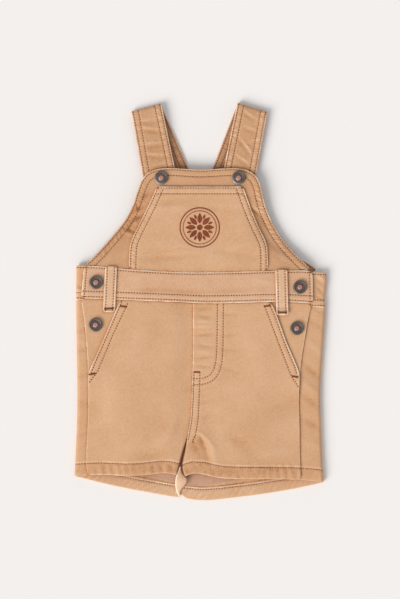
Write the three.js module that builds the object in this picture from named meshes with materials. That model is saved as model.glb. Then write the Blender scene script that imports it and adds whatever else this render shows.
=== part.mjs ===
// Shortalls for a baby of 6 to 12 months in garment-dyed cotton twill, laid flat on their back, front up.
// Millimetres. +X is to the viewer's right, +Y towards the straps, +Z up from the surface they lie on.
// The origin is on that surface, at the middle of the garment's footprint.
import * as THREE from "three";

// Driving dimensions.
const CLOTH = 1.2; // wall of one layer of twill
const HEM = 2.4; // wall of a turned hem
const BAND = 2.4; // wall of the front waistband
const BACK_BAND = 2; // wall of the back waistband
const STRAP = 2.2; // wall of a strap
const EDGE_BAND = 2; // wall along the stitched edges of the bib
const GAP = 0.3; // space between pieces that touch
const FOLD = 3.8; // outer radius of the side folds
const FOLD_REACH = 130; // about how far the side folds are from the middle
const STRAP_FOLD = 3.9; // outer radius of the shoulder folds
const STRAP_SAG = 0.8; // how far the front of a strap sinks between its fold and the bib
const HEM_WIDTH = 12.5;
const BIB_EDGE_WIDTH = 8;
const LAP = 8; // how far the side seam's front edge covers the back cloth
const BUTTON_LAP = 22; // how far it covers it where it is buttoned
const CENTRE_LAP = 4; // how far the right front covers the left one
const POCKET_LAP = 7; // how far a front covers the side panel inside its pocket
const CROTCH_Y = -146;
const PLACKET_END_Y = -78;
const LOOP_WIDTH = 12.4;
const LOOP_WALL = 1.5;
const LOOP_REACH = 4; // how far along itself a belt loop takes its height from the highest place
const CAP_RADIUS = 7.1;
const HEM_CURL = 0.1; // how far the curled hem rises in its middle, as a share of its width
const BIB_SAG = 2.4; // how far the bib's side edges sink towards the back between waist and straps

// Stretches over which one height eases into another, from the first value to the second.
const FRONT_RISE = { from: LAP, to: 48 }; // in from the side seam
const POCKET_RISE = { from: PLACKET_END_Y - 26, to: PLACKET_END_Y - 6 }; // up the side seam
const BAND_RISE = { from: 30, to: 62 }; // in from the waistband's ends
const BIB_RISE = { from: 2, to: 34 }; // in from the armhole edges
const BIB_EDGE_LIFT = { from: 92, to: 108 }; // up the bib's edges, to lie on the straps
const BIB_LIFT = { from: 96, to: 120 }; // the same up its middle
const BIB_HOLLOW = { from: 38, to: 106 }; // where the bib's side edges sink, up the bib

// Heights of the outer surfaces above the surface that the garment lies on.
const WRAP_TOP = 2 * FOLD; // back cloth, once it has come round the side fold
const SIDE_TOP = WRAP_TOP + GAP + CLOTH; // side panels, and the fronts where they lap the back
const POCKET_TOP = SIDE_TOP + GAP + CLOTH; // fronts, where they lie on the side panels
const CROWN_TOP = 11.3; // fronts, away from their edges
const BAND_END_TOP = WRAP_TOP + GAP + BAND; // waistband, where it is buttoned over the back one
const BAND_TOP = 12.2; // waistband, in the middle
const BIB_TOP = 10.4;
const BIB_EDGE_TOP = 9.2;
const BIB_HEM_TOP = STRAP_FOLD * 2 + GAP + EDGE_BAND;

const TAN = 0xd7aa82;
const TAN_DEEP = 0xc99b72;
const TAN_BACK = 0xd3a27a;
const GUNMETAL = 0x5b514b;

// Outlines. Each table is read by its named columns.
const SIDE_FOLDS = [
  { y: 40, left: -130.6, right: 131.6 },
  { y: 18, left: -130.9, right: 132.9 },
  { y: 8, left: -130.9, right: 130.4 },
  { y: -4, left: -130.9, right: 131.4 },
  { y: -42, left: -130.5, right: 129.2 },
  { y: -94, left: -129.7, right: 126.2 },
  { y: -131, left: -130.2, right: 126.9 },
  { y: -160, left: -131.6, right: 128 },
  { y: -192, left: -132.9, right: 129.7 },
];
const SIDE_SEAMS = [
  { y: 38, left: -122.2, right: 118.6 },
  { y: 3, left: -125.5, right: 118.4 },
  { y: -15, left: -122.5, right: 113.4 },
  { y: -34, left: -120.6, right: 110.4 },
  { y: -57, left: -118.7, right: 106.5 },
  { y: -75, left: -118, right: 104.5 },
  { y: -103, left: -117.8, right: 103.5 },
  { y: -130, left: -118.5, right: 104.1 },
  { y: -166, left: -119.9, right: 104.7 },
  { y: -190, left: -118.5, right: 105.7 },
];
const POCKET_EDGES = [
  { y: 4, left: -83.4, right: 72.2 },
  { y: -12, left: -90.1, right: 79.3 },
  { y: -40, left: -102.2, right: 89.4 },
  { y: -75, left: -118, right: 104.5 },
];
const WAIST = [
  { x: -134, top: 38.6, bottom: 4 },
  { x: -100, top: 37.2, bottom: 2.8 },
  { x: -84, top: 35.2, bottom: 2.2 },
  { x: -51, top: 32.9, bottom: 1 },
  { x: -19, top: 31.4, bottom: -0.3 },
  { x: 0, top: 31.3, bottom: -1.4 },
  { x: 42, top: 32, bottom: -0.9 },
  { x: 74, top: 32.9, bottom: 0 },
  { x: 106, top: 33.3, bottom: -0.9 },
  { x: 134, top: 31.6, bottom: -3.4 },
];
const WAIST_ENDS = [
  { y: 38, left: -122.2, right: 117.4 },
  { y: 0, left: -125.6, right: 118.4 },
];
const BACK_BAND_ENDS = { left: -101, right: 96 }; // under the front waistband
const BACK_WAIST = [
  { x: -134, top: 38.4, bottom: 2 },
  { x: 0, top: 35.5, bottom: -1.6 },
  { x: 134, top: 30.6, bottom: -6.4 },
];
const CENTRE_FRONT = [
  { y: 4, x: -7.7 },
  { y: -39, x: -7.6 },
  { y: -72, x: -8.2 },
  { y: -103, x: -9.2 },
  { y: -124, x: -10.4 },
  { y: -139, x: -13.2 },
  { y: CROTCH_Y, x: -14.5 },
];
const CENTRE_BACK = [
  { y: 40, x: -3 },
  { y: -60, x: -6.5 },
  { y: CROTCH_Y, x: -14 },
  { y: -176, x: -18.8 },
  { y: -210, x: -20 },
];
const INSEAMS = [
  { y: CROTCH_Y, left: -15, right: -14 },
  { y: -155, left: -17.8, right: -16 },
  { y: -163, left: -20, right: -17.8 },
  { y: -171, left: -22, right: -19.6 },
  { y: -176, left: -23.2, right: -19.6 },
  { y: -181, left: -24.4, right: -17.8 },
  { y: -186, left: -25.2, right: -14.8 },
];
const LEFT_HEM = [
  { x: -133, y: -183 },
  { x: -107, y: -181.4 },
  { x: -76, y: -182.4 },
  { x: -53, y: -181.1 },
  { x: -36, y: -179.2 },
  { x: -24, y: -182 },
];
const RIGHT_HEM = [
  { x: -17, y: -183.6 },
  { x: -11, y: -180.2 },
  { x: -2, y: -179.2 },
  { x: 7, y: -181.8 },
  { x: 16, y: -184.2 },
  { x: 31, y: -185.4 },
  { x: 60, y: -185.8 },
  { x: 104, y: -186.8 },
  { x: 130, y: -189.4 },
];
const BACK_HEM = [
  { x: -133, y: -183.4 },
  { x: -116, y: -187.7 },
  { x: -94, y: -193.1 },
  { x: -53, y: -200.9 },
  { x: -23, y: -206.2 },
  { x: 1, y: -209.8 },
  { x: 31, y: -206.4 },
  { x: 75, y: -201 },
  { x: 115, y: -193.5 },
  { x: 130, y: -190 },
];
const BIB_SIDES = [
  { y: 133.6, left: -58.2, right: 57.4 },
  { y: 126, left: -62.7, right: 62 },
  { y: 116, left: -66.2, right: 64.4 },
  { y: 100, left: -71.5, right: 68.2 },
  { y: 86, left: -79, right: 74.2 },
  { y: 75, left: -87.6, right: 79.8 },
  { y: 60, left: -100.4, right: 90.4 },
  { y: 47, left: -112.3, right: 103 },
  { y: 39, left: -121, right: 111 },
  { y: 32.5, left: -127, right: 117.6 },
];
const BIB_TOP_EDGE = [
  { x: -58.2, y: 133.6 },
  { x: -51, y: 138 },
  { x: -38, y: 140.3 },
  { x: 0, y: 138.8 },
  { x: 38, y: 140.3 },
  { x: 48, y: 138.8 },
  { x: 57.4, y: 133.6 },
];
const BIB_POCKET_SIDES = [
  { y: 121, left: -45.7, right: 44.6 },
  { y: 106, left: -52.3, right: 50 },
  { y: 93, left: -58.7, right: 54.8 },
  { y: 78, left: -66.2, right: 61.4 },
  { y: 60.5, left: -74, right: 69.6 },
  { y: 56, left: -74.4, right: 70.2 },
  { y: 32, left: -75.2, right: 70.6 },
];
const BACK_BIB_SIDES = [
  { y: 112.4, left: -36, right: 37.6 },
  { y: 98, left: -43, right: 44 },
  { y: 78, left: -58, right: 58 },
  { y: 58, left: -82, right: 80 },
  { y: 45, left: -110, right: 105 },
  { y: 38, left: -126, right: 119 },
  { y: 31, left: -127, right: 128 },
];
// A strap's corners: at the shoulder fold, at its end under the bib and at its end on the back yoke.
const STRAPS = [
  {
    side: "left",
    fold: { outer: [-72.8, 200.6], inner: [-41.7, 208.9] },
    front: { outer: [-57.2, 113.8], inner: [-22.6, 119.8] },
    back: { outer: [-35.7, 112.8], inner: [-0.8, 112.8] },
  },
  {
    side: "right",
    fold: { outer: [70.7, 200], inner: [39.3, 209.7] },
    front: { outer: [54.6, 113.8], inner: [20.6, 119.8] },
    back: { outer: [37.4, 112.8], inner: [2.2, 112.8] },
  },
];
const BELT_LOOPS = [
  { side: "left", topX: -93.6, topY: 37.4, bottomX: -95.9, bottomY: -10.1 },
  { side: "right", topX: 84.8, topY: 34, bottomX: 86, bottomY: -13.9 },
];
const BUTTONS = [
  { name: "bib_left", x: -41.1, y: 130.2 },
  { name: "bib_right", x: 40, y: 130.2 },
  { name: "waist_left", x: -109.5, y: 20.6 },
  { name: "waist_right", x: 104.3, y: 15.6 },
  { name: "side_left", x: -110.1, y: -24 },
  { name: "side_right", x: 101.2, y: -27.6 },
];
// The soft creases that start at the crotch: a middle, a direction, a reach along it, a width and a height.
const CREASES = [
  { x: 8, y: -148, turn: -48, reach: 20, width: 4.5, height: 1.3 },
  { x: 2, y: -154, turn: -62, reach: 14, width: 3.5, height: -0.9 },
  { x: -34, y: -150, turn: 52, reach: 18, width: 5, height: 0.8 },
  { x: 26, y: -158, turn: -60, reach: 22, width: 6, height: -0.7 },
];
// The curled hem between the two inseams, from where they part down to the back hem.
const INSEAM_HEM = [
  { y: -173, left: -22, right: -20.8, z: 8.6 },
  { y: -177, left: -22.9, right: -21, z: 9 },
  { y: -180.2, left: -24.4, right: -19.8, z: 9.3 },
  { y: -182.9, left: -25.6, right: -17.4, z: 9.3 },
  { y: -185.3, left: -26.2, right: -14.2, z: 9.2 },
  { y: -189.2, left: -26.5, right: -14.6, z: 8.6 },
  { y: -193.2, left: -26.6, right: -16.9, z: 7.4 },
  { y: -197, left: -26, right: -20.4, z: 6.2 },
  { y: -200.6, left: -25, right: -21.9, z: 5.2 },
  { y: -204.4, left: -23.2, right: -21, z: 4.6 },
];

// Reads one column of a table at a place along another, on a smooth curve through its rows.
function read(table, along, column, place) {
  const rows = table[0][along] < table.at(-1)[along] ? table : [...table].reverse();
  const last = rows.length - 1;
  const clamped = THREE.MathUtils.clamp(place, rows[0][along], rows[last][along]);
  let i = 0;
  while (i < last - 1 && clamped > rows[i + 1][along]) i += 1;
  const slope = (a, b) => (rows[b][column] - rows[a][column]) / (rows[b][along] - rows[a][along]);
  const here = slope(i, i + 1);
  const before = i > 0 ? (slope(i - 1, i) + here) / 2 : here;
  const after = i + 2 <= last ? (slope(i + 1, i + 2) + here) / 2 : here;
  const step = rows[i + 1][along] - rows[i][along];
  const t = (clamped - rows[i][along]) / step;
  const bend = t * (1 - t) * step * ((1 - t) * (before - here) - t * (after - here));
  return rows[i][column] + here * step * t + bend;
}
const mix = THREE.MathUtils.lerp;
const ease = (value, { from, to }) => THREE.MathUtils.smoothstep(value, from, to);
const share = (i, count) => i / (count - 1);

// Heights of the outer surfaces at a place.
function crease(x, y) {
  return CREASES.reduce((sum, row) => {
    const turn = THREE.MathUtils.degToRad(row.turn);
    const along = (x - row.x) * Math.cos(turn) + (y - row.y) * Math.sin(turn);
    const across = (y - row.y) * Math.cos(turn) - (x - row.x) * Math.sin(turn);
    return sum + row.height * Math.exp(-((along / row.reach) ** 2) - (across / row.width) ** 2);
  }, 0);
}
function sideDistance(x, y) {
  return Math.min(x - read(SIDE_SEAMS, "y", "left", y), read(SIDE_SEAMS, "y", "right", y) - x);
}
function frontTop(x, y) {
  const edge = mix(SIDE_TOP, POCKET_TOP, ease(y, POCKET_RISE));
  return mix(edge, CROWN_TOP, ease(sideDistance(x, y), FRONT_RISE)) + crease(x, y);
}
function leftFrontTop(x, y) {
  const middle = read(CENTRE_FRONT, "y", "x", y);
  const under = ease(x, { from: middle - 20, to: middle - 5 });
  const dip = (CLOTH + GAP) * under * ease(y, { from: CROTCH_Y - 6, to: CROTCH_Y + 4 });
  return frontTop(x, y) - dip;
}
function bandTop(x, y) {
  return mix(BAND_END_TOP, BAND_TOP, ease(sideDistance(x, y), BAND_RISE));
}
function bibEdgeDistance(x, y) {
  const left = x - read(BIB_SIDES, "y", "left", y);
  const right = read(BIB_SIDES, "y", "right", y) - x;
  return Math.min(left, right);
}
function bibTop(x, y) {
  const up = THREE.MathUtils.mapLinear(y, BIB_HOLLOW.from, BIB_HOLLOW.to, 0, Math.PI);
  const sag = BIB_SAG * Math.sin(THREE.MathUtils.clamp(up, 0, Math.PI));
  const edge = mix(BIB_EDGE_TOP, BIB_HEM_TOP, ease(y, BIB_EDGE_LIFT)) - sag;
  const middle = mix(BIB_TOP, BIB_HEM_TOP, ease(y, BIB_LIFT));
  return mix(edge, middle, ease(bibEdgeDistance(x, y), BIB_RISE));
}

// A closed wall: rows of points on its outer surface, and the same points moved in by its thickness.
// The outer surface faces left of the way along a row, seen with the rows going up.
function wallOf(rows, thickness) {
  const height = rows.length;
  const width = rows[0].length;
  const inRange = (i, count) => THREE.MathUtils.clamp(i, 0, count - 1);
  const at = (i, j) => rows[inRange(i, height)][inRange(j, width)];
  const positions = [];
  const inner = [];
  rows.forEach((row, i) =>
    row.forEach((point, j) => {
      const along = new THREE.Vector3().subVectors(at(i, j + 1), at(i, j - 1));
      const up = new THREE.Vector3().subVectors(at(i + 1, j), at(i - 1, j));
      const normal = along.cross(up).normalize();
      positions.push(point.x, point.y, point.z);
      inner.push(...point.clone().addScaledVector(normal, -thickness(point, i, j)).toArray());
    }),
  );
  positions.push(...inner);
  const outerIndex = (i, j) => i * width + j;
  const innerIndex = (i, j) => (height + i) * width + j;
  const faces = [];
  const quad = (a, b, c, d) => faces.push(a, b, c, a, c, d);
  for (let i = 0; i < height - 1; i += 1) {
    for (let j = 0; j < width - 1; j += 1) {
      quad(outerIndex(i, j), outerIndex(i, j + 1), outerIndex(i + 1, j + 1), outerIndex(i + 1, j));
      quad(innerIndex(i, j), innerIndex(i + 1, j), innerIndex(i + 1, j + 1), innerIndex(i, j + 1));
    }
  }
  const rim = [];
  for (let j = 0; j < width; j += 1) rim.push([0, j]);
  for (let i = 1; i < height; i += 1) rim.push([i, width - 1]);
  for (let j = width - 2; j >= 0; j -= 1) rim.push([height - 1, j]);
  for (let i = height - 2; i > 0; i -= 1) rim.push([i, 0]);
  rim.forEach((cell, k) => {
    const next = rim[(k + 1) % rim.length];
    quad(innerIndex(...cell), innerIndex(...next), outerIndex(...next), outerIndex(...cell));
  });
  const geometry = new THREE.BufferGeometry();
  geometry.setAttribute("position", new THREE.Float32BufferAttribute(positions, 3));
  geometry.setIndex(faces);
  geometry.computeVertexNormals();
  return geometry;
}

// A panel between a left and a right edge, and a lower and an upper one, with a height for each place.
function panel({ left, right, lower, upper, top, wall, rows, columns }) {
  const grid = [];
  for (let i = 0; i < rows; i += 1) {
    const row = [];
    for (let j = 0; j < columns; j += 1) {
      let y = mix(lower(0), upper(0), share(i, rows));
      let x = 0;
      for (let pass = 0; pass < 4; pass += 1) {
        x = mix(left(y), right(y), share(j, columns));
        y = mix(lower(x), upper(x), share(i, rows));
      }
      row.push(new THREE.Vector3(x, y, top(x, y)));
    }
    grid.push(row);
  }
  return wallOf(grid, wall);
}

const group = new THREE.Group();
function add(name, geometry, color, finish = { roughness: 0.95, metalness: 0 }) {
  const mesh = new THREE.Mesh(geometry, new THREE.MeshStandardMaterial({ color, ...finish }));
  mesh.name = name;
  group.add(mesh);
  return mesh;
}

// The flat bottom, the side fold and the front lap of a back piece, as one section. Its points' y is
// place(x, z). Side is -1 on the left and 1 on the right, and the section runs from the middle outwards.
const FOLD_STEPS = 8;
const FLAT_STEPS = 7;
const LAP_STEPS = 3;
function wrapSection({ side, inside, fold, lapEnd, place }) {
  const axis = fold - side * FOLD;
  const points = [];
  for (let k = 0; k < FLAT_STEPS; k += 1) points.push([mix(inside, axis, k / FLAT_STEPS), 0]);
  for (let k = 0; k <= FOLD_STEPS; k += 1) {
    const angle = (Math.PI * k) / FOLD_STEPS;
    points.push([axis + side * FOLD * Math.sin(angle), FOLD * (1 - Math.cos(angle))]);
  }
  for (let k = 1; k <= LAP_STEPS; k += 1) points.push([mix(axis, lapEnd, k / LAP_STEPS), WRAP_TOP]);
  const section = points.map(([x, z]) => new THREE.Vector3(x, place(x, z), z));
  return side < 0 ? section : section.reverse();
}
function lapEndX(side, y) {
  const seam = read(SIDE_SEAMS, "y", side < 0 ? "left" : "right", y);
  return seam - side * mix(LAP, BUTTON_LAP, ease(y, { from: PLACKET_END_Y - 14, to: PLACKET_END_Y }));
}
function backPiece(side) {
  const ROWS = 18;
  const CROWDING = 1.15; // packs the rows towards the hem
  const column = side < 0 ? "left" : "right";
  const hem = side < 0 ? LEFT_HEM : RIGHT_HEM;
  const lowY = (x, z = 0) => read(z > FOLD ? hem : BACK_HEM, "x", "y", x);
  const highY = (x) => read(BACK_WAIST, "x", "bottom", x) - GAP / 2;
  const rows = [];
  for (let i = 0; i < ROWS; i += 1) {
    const t = share(i, ROWS) ** CROWDING;
    const place = (x, z) => mix(lowY(x, z), highY(x), t);
    let inside = 0;
    let fold = side * FOLD_REACH;
    for (let pass = 0; pass < 4; pass += 1) {
      inside = read(CENTRE_BACK, "y", "x", place(inside)) + (side * GAP) / 2;
      fold = read(SIDE_FOLDS, "y", column, place(fold));
    }
    rows.push(wrapSection({ side, inside, fold, lapEnd: lapEndX(side, place(fold)), place }));
  }
  const hemEnd = (x) => lowY(x) + HEM_WIDTH;
  return wallOf(rows, (p) => (p.y < hemEnd(p.x) && p.z < HEM / 2 ? HEM : CLOTH));
}
add("back_left", backPiece(-1), TAN_BACK);
add("back_right", backPiece(1), TAN_BACK);

function backWaistband() {
  const ROWS = 4;
  const rows = [];
  for (let i = 0; i < ROWS; i += 1) {
    const t = share(i, ROWS);
    const lowY = (x) => read(BACK_WAIST, "x", "bottom", x) + GAP / 2;
    const place = (x) => mix(lowY(x), read(BACK_WAIST, "x", "top", x), t);
    const half = (side, column) =>
      wrapSection({
        side,
        inside: 0,
        fold: read(SIDE_FOLDS, "y", column, place(side * FOLD_REACH)),
        lapEnd: BACK_BAND_ENDS[column],
        place,
      });
    rows.push([...half(1, "right").slice(0, -1), ...half(-1, "left")]);
  }
  return wallOf(rows, () => BACK_BAND);
}
add("back_waistband", backWaistband(), TAN_BACK);

const backBib = panel({
  left: (y) => read(BACK_BIB_SIDES, "y", "left", y),
  right: (y) => read(BACK_BIB_SIDES, "y", "right", y),
  lower: (x) => read(BACK_WAIST, "x", "top", x) + GAP,
  upper: () => BACK_BIB_SIDES[0].y,
  top: () => CLOTH,
  wall: () => CLOTH,
  rows: 10,
  columns: 9,
});
add("back_bib", backBib, TAN_BACK);

// A strap: flat on the surface from the yoke, over the shoulder fold, and back above itself to the bib.
function strap({ side, fold, front, back }) {
  const ACROSS = 5;
  const LENGTH_STEPS = 9;
  const FOLD_STEPS = 8;
  const point = (pair, t) => new THREE.Vector2(...pair.outer).lerp(new THREE.Vector2(...pair.inner), t);
  const line = new THREE.Vector2().subVectors(point(fold, 1), point(fold, 0)).normalize();
  const out = new THREE.Vector2(-line.y, line.x).multiplyScalar(side === "left" ? 1 : -1);
  const rows = [];
  const push = (place, z) => {
    const row = [];
    for (let j = 0; j < ACROSS; j += 1) {
      const p = place(share(j, ACROSS));
      row.push(new THREE.Vector3(p.x, p.y, z));
    }
    rows.push(side === "left" ? row : row.reverse());
  };
  const base = (t) => point(fold, t).addScaledVector(out, -STRAP_FOLD);
  for (let i = 0; i < LENGTH_STEPS; i += 1)
    push((t) => point(back, t).lerp(base(t), i / LENGTH_STEPS), 0);
  for (let i = 0; i <= FOLD_STEPS; i += 1) {
    const angle = (Math.PI * i) / FOLD_STEPS;
    const reach = STRAP_FOLD * Math.sin(angle);
    push((t) => base(t).addScaledVector(out, reach), STRAP_FOLD * (1 - Math.cos(angle)));
  }
  for (let i = 1; i <= LENGTH_STEPS; i += 1) {
    const part = i / LENGTH_STEPS;
    push((t) => base(t).lerp(point(front, t), part), 2 * STRAP_FOLD - STRAP_SAG * Math.sin(Math.PI * part));
  }
  return wallOf(rows.reverse(), () => STRAP);
}
for (const row of STRAPS) add("strap_" + row.side, strap(row), TAN_DEEP);

const bib = panel({
  left: (y) => read(BIB_SIDES, "y", "left", y),
  right: (y) => read(BIB_SIDES, "y", "right", y),
  lower: (x) => read(WAIST, "x", "top", x) + GAP,
  upper: (x) => read(BIB_TOP_EDGE, "x", "y", x),
  top: bibTop,
  wall: ({ x, y }) => {
    const near = Math.min(bibEdgeDistance(x, y), read(BIB_TOP_EDGE, "x", "y", x) - y);
    return mix(EDGE_BAND, CLOTH, ease(near, { from: BIB_EDGE_WIDTH, to: BIB_EDGE_WIDTH + 6 }));
  },
  rows: 16,
  columns: 23,
});
add("bib_front", bib, TAN);

const bibPocket = panel({
  left: (y) => read(BIB_POCKET_SIDES, "y", "left", y),
  right: (y) => read(BIB_POCKET_SIDES, "y", "right", y),
  lower: (x) => read(WAIST, "x", "top", x) + GAP,
  upper: () => BIB_POCKET_SIDES[0].y,
  top: (x, y) => bibTop(x, y) + 2 * GAP + CLOTH,
  wall: () => CLOTH,
  rows: 14,
  columns: 17,
});
add("bib_pocket", bibPocket, TAN);

const waistband = panel({
  left: (y) => read(WAIST_ENDS, "y", "left", y),
  right: (y) => read(WAIST_ENDS, "y", "right", y),
  lower: (x) => read(WAIST, "x", "bottom", x),
  upper: (x) => read(WAIST, "x", "top", x),
  top: bandTop,
  wall: () => BAND,
  rows: 5,
  columns: 29,
});
add("front_waistband", waistband, TAN);

// The side panels show inside the slanted pockets, from the side seam to just under the front.
function sidePanel(side) {
  const seam = (y) => read(SIDE_SEAMS, "y", side < 0 ? "left" : "right", y);
  const edge = (y) => read(POCKET_EDGES, "y", side < 0 ? "left" : "right", y) - side * POCKET_LAP;
  return panel({
    left: side < 0 ? seam : edge,
    right: side < 0 ? edge : seam,
    lower: () => PLACKET_END_Y,
    upper: (x) => read(WAIST, "x", "bottom", x) - GAP,
    top: () => SIDE_TOP,
    wall: () => CLOTH,
    rows: 10,
    columns: 6,
  });
}
add("side_panel_left", sidePanel(-1), TAN);
add("side_panel_right", sidePanel(1), TAN);

// A front leg: flat to the centre seam, and below the crotch turned down along its inseam to the back.
function frontPiece(side) {
  const ROWS = 23;
  const COLUMNS = 14;
  const TURN_STEPS = 5;
  const TURN = 1.8; // how far in from the inseam the cloth starts to turn down
  const column = side < 0 ? "left" : "right";
  const hem = side < 0 ? LEFT_HEM : RIGHT_HEM;
  const top = side < 0 ? leftFrontTop : frontTop;
  const outside = (y) =>
    y > POCKET_EDGES.at(-1).y
      ? read(POCKET_EDGES, "y", column, y)
      : read(SIDE_SEAMS, "y", column, y);
  const inside = (y) => {
    if (y < CROTCH_Y) return read(INSEAMS, "y", column, y);
    const lap = CENTRE_LAP * ease(y, { from: CROTCH_Y + 8, to: CROTCH_Y + 24 });
    return read(CENTRE_FRONT, "y", "x", y) + (side < 0 ? lap - GAP * 2 : 0);
  };
  const lower = (x) => read(hem, "x", "y", x);
  const upper = (x) => read(WAIST, "x", "bottom", x) - GAP;
  const turned = (y) => 1 - ease(y, { from: CROTCH_Y - 14, to: CROTCH_Y });
  const rows = [];
  for (let i = 0; i < ROWS; i += 1) {
    const t = share(i, ROWS);
    const row = [];
    for (let j = 0; j < COLUMNS + TURN_STEPS; j += 1) {
      let y = mix(lower(side * 60), upper(side * 60), t);
      let x = 0;
      let drop = 0;
      for (let pass = 0; pass < 4; pass += 1) {
        const start = inside(y) + side * TURN;
        if (j < COLUMNS) x = mix(outside(y), start, share(j, COLUMNS));
        else {
          const step = (j - COLUMNS + 1) / TURN_STEPS;
          const angle = (step * Math.PI) / 2;
          x = start - side * TURN * mix(step, Math.sin(angle), turned(y));
          drop = (top(x, y) - CLOTH - GAP * 2) * turned(y) * (1 - Math.cos(angle));
        }
        y = mix(lower(x), upper(x), t);
      }
      row.push(new THREE.Vector3(x, y, top(x, y) - drop));
    }
    rows.push(side < 0 ? row : row.reverse());
  }
  return wallOf(rows, ({ x, y }) => {
    const hemmed = 1 - ease(y - lower(x), { from: HEM_WIDTH - 3, to: HEM_WIDTH + 3 });
    const offSeam = ease(sideDistance(x, y), { from: LAP + 4, to: LAP + 14 });
    const offInseam = ease(side * (x - inside(y)), { from: TURN, to: TURN + 6 });
    return mix(CLOTH, HEM, hemmed * offSeam * offInseam);
  });
}
add("front_left", frontPiece(-1), TAN);
add("front_right", frontPiece(1), TAN);

// Height of what a belt loop or a button lies on.
function coveredTop(x, y) {
  const seam = read(WAIST, "x", "top", x);
  if (y > seam) return bibTop(x, y);
  if (y > read(WAIST, "x", "bottom", x)) return bandTop(x, y);
  const pocketed = x < read(POCKET_EDGES, "y", "left", y) || x > read(POCKET_EDGES, "y", "right", y);
  return pocketed && y > PLACKET_END_Y ? SIDE_TOP : frontTop(x, y);
}
function highestUnder(x, y, reachX, reachY) {
  const STEPS = [-1, -0.5, 0, 0.5, 1];
  const tops = STEPS.flatMap((i) => STEPS.map((j) => coveredTop(x + i * reachX, y + j * reachY)));
  return Math.max(...tops);
}
function beltLoop({ topX, topY, bottomX, bottomY }) {
  const STEPS = 12;
  const rows = [];
  for (let i = 0; i <= STEPS; i += 1) {
    const y = mix(bottomY, topY, i / STEPS);
    const x = mix(bottomX, topX, i / STEPS);
    const z = highestUnder(x, y, LOOP_WIDTH / 2, LOOP_REACH) + GAP + LOOP_WALL;
    const row = [-0.5, 0, 0.5].map((k) => new THREE.Vector3(x + k * LOOP_WIDTH, y, z));
    rows.push(row);
  }
  return wallOf(rows, () => LOOP_WALL);
}
for (const row of BELT_LOOPS) add("belt_loop_" + row.side, beltLoop(row), TAN);

// A pressed snap cap: a flange on the cloth, a raised rim, a sunk ring and a stud in the middle.
const CAP_SIDES = 20;
const capProfile = [
  { r: 0, z: 0 },
  { r: 5.4, z: 0 },
  { r: 5.6, z: 0.7 },
  { r: 6.9, z: 1.1 },
  { r: CAP_RADIUS, z: 1.7 },
  { r: 6.6, z: 2.4 },
  { r: 5.9, z: 2.6 },
  { r: 5.1, z: 2.1 },
  { r: 2.7, z: 2 },
  { r: 2.2, z: 2.8 },
  { r: 0, z: 3 },
].map(({ r, z }) => new THREE.Vector2(r, z));
function button({ name, x, y }) {
  const geometry = new THREE.LatheGeometry(capProfile, CAP_SIDES);
  geometry.rotateX(Math.PI / 2);
  const mesh = add("button_" + name, geometry, GUNMETAL, { roughness: 0.45, metalness: 0.9 });
  mesh.position.set(x, y, highestUnder(x, y, CAP_RADIUS, CAP_RADIUS) + GAP);
}
BUTTONS.forEach(button);

const hemRows = INSEAM_HEM.map(({ y, left, right, z }) =>
  [0, 0.25, 0.5, 0.75, 1].map((t) => {
    const curl = HEM_CURL * Math.sin(Math.PI * t) * (right - left);
    return new THREE.Vector3(mix(left, right, t), y, z + curl);
  }),
).reverse();
add("inseam_hem", wallOf(hemRows, () => CLOTH + GAP), TAN);

export default group;
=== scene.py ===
# Shortalls for a baby in garment-dyed cotton twill, laid flat on their back, front up.
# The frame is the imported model's: +X to the viewer's right, +Y towards the straps, +Z up from the surface
# that they lie on. Sizes here are in millimetres, and become metres as a mesh is made.
import math
from collections import namedtuple

import bmesh
import bpy
import numpy as np
from mathutils import Matrix, Vector
from mathutils.bvhtree import BVHTree


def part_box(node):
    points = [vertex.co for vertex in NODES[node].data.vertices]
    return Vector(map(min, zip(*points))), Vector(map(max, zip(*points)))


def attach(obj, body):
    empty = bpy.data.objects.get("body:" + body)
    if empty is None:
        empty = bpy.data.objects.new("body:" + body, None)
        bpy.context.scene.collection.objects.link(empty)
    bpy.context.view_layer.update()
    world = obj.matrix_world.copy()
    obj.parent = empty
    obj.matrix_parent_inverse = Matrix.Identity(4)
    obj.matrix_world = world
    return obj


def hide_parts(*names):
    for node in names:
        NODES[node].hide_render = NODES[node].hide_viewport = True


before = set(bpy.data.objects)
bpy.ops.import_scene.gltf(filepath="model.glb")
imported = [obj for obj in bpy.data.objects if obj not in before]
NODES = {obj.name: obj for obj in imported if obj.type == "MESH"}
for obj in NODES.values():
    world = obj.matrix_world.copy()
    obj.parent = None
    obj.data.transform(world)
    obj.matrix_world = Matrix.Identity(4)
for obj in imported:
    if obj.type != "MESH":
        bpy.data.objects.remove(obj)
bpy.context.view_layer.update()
MM = 0.001

# The view: straight down, the garment filling the frame as in the photograph.
VIEW_HEIGHT = 1800
VIEW_FIELD = 629  # height of the field seen at the level of the cloth
VIEW_LEVEL = 9
VIEW_CENTRE = (-0.5, 2.6)
SENSOR = 36

# Stitching.
STITCH_PITCH = 2.8
STITCH_LENGTH = 1.95
STITCH_WIDTH = 1.35
STITCH_HEIGHT = 0.85
STITCH_SINK = 0.04  # how deep a stitch's middle lies in the cloth
GROOVE_WIDTH = 0.85  # half width of the groove that a row of stitches pulls into the cloth
GROOVE_DEPTH = 0.28
EDGE_WIDTH = 0.85  # half width of the worn line along an edge
NEAR = 7  # how far from a seam its relief reaches

Edge = namedtuple("Edge", "points inward")
Cloth = namedtuple("Cloth", "level finish flat area rests_on shade", defaults=(0,))
Crease = namedtuple("Crease", "x y turn reach width height")
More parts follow.
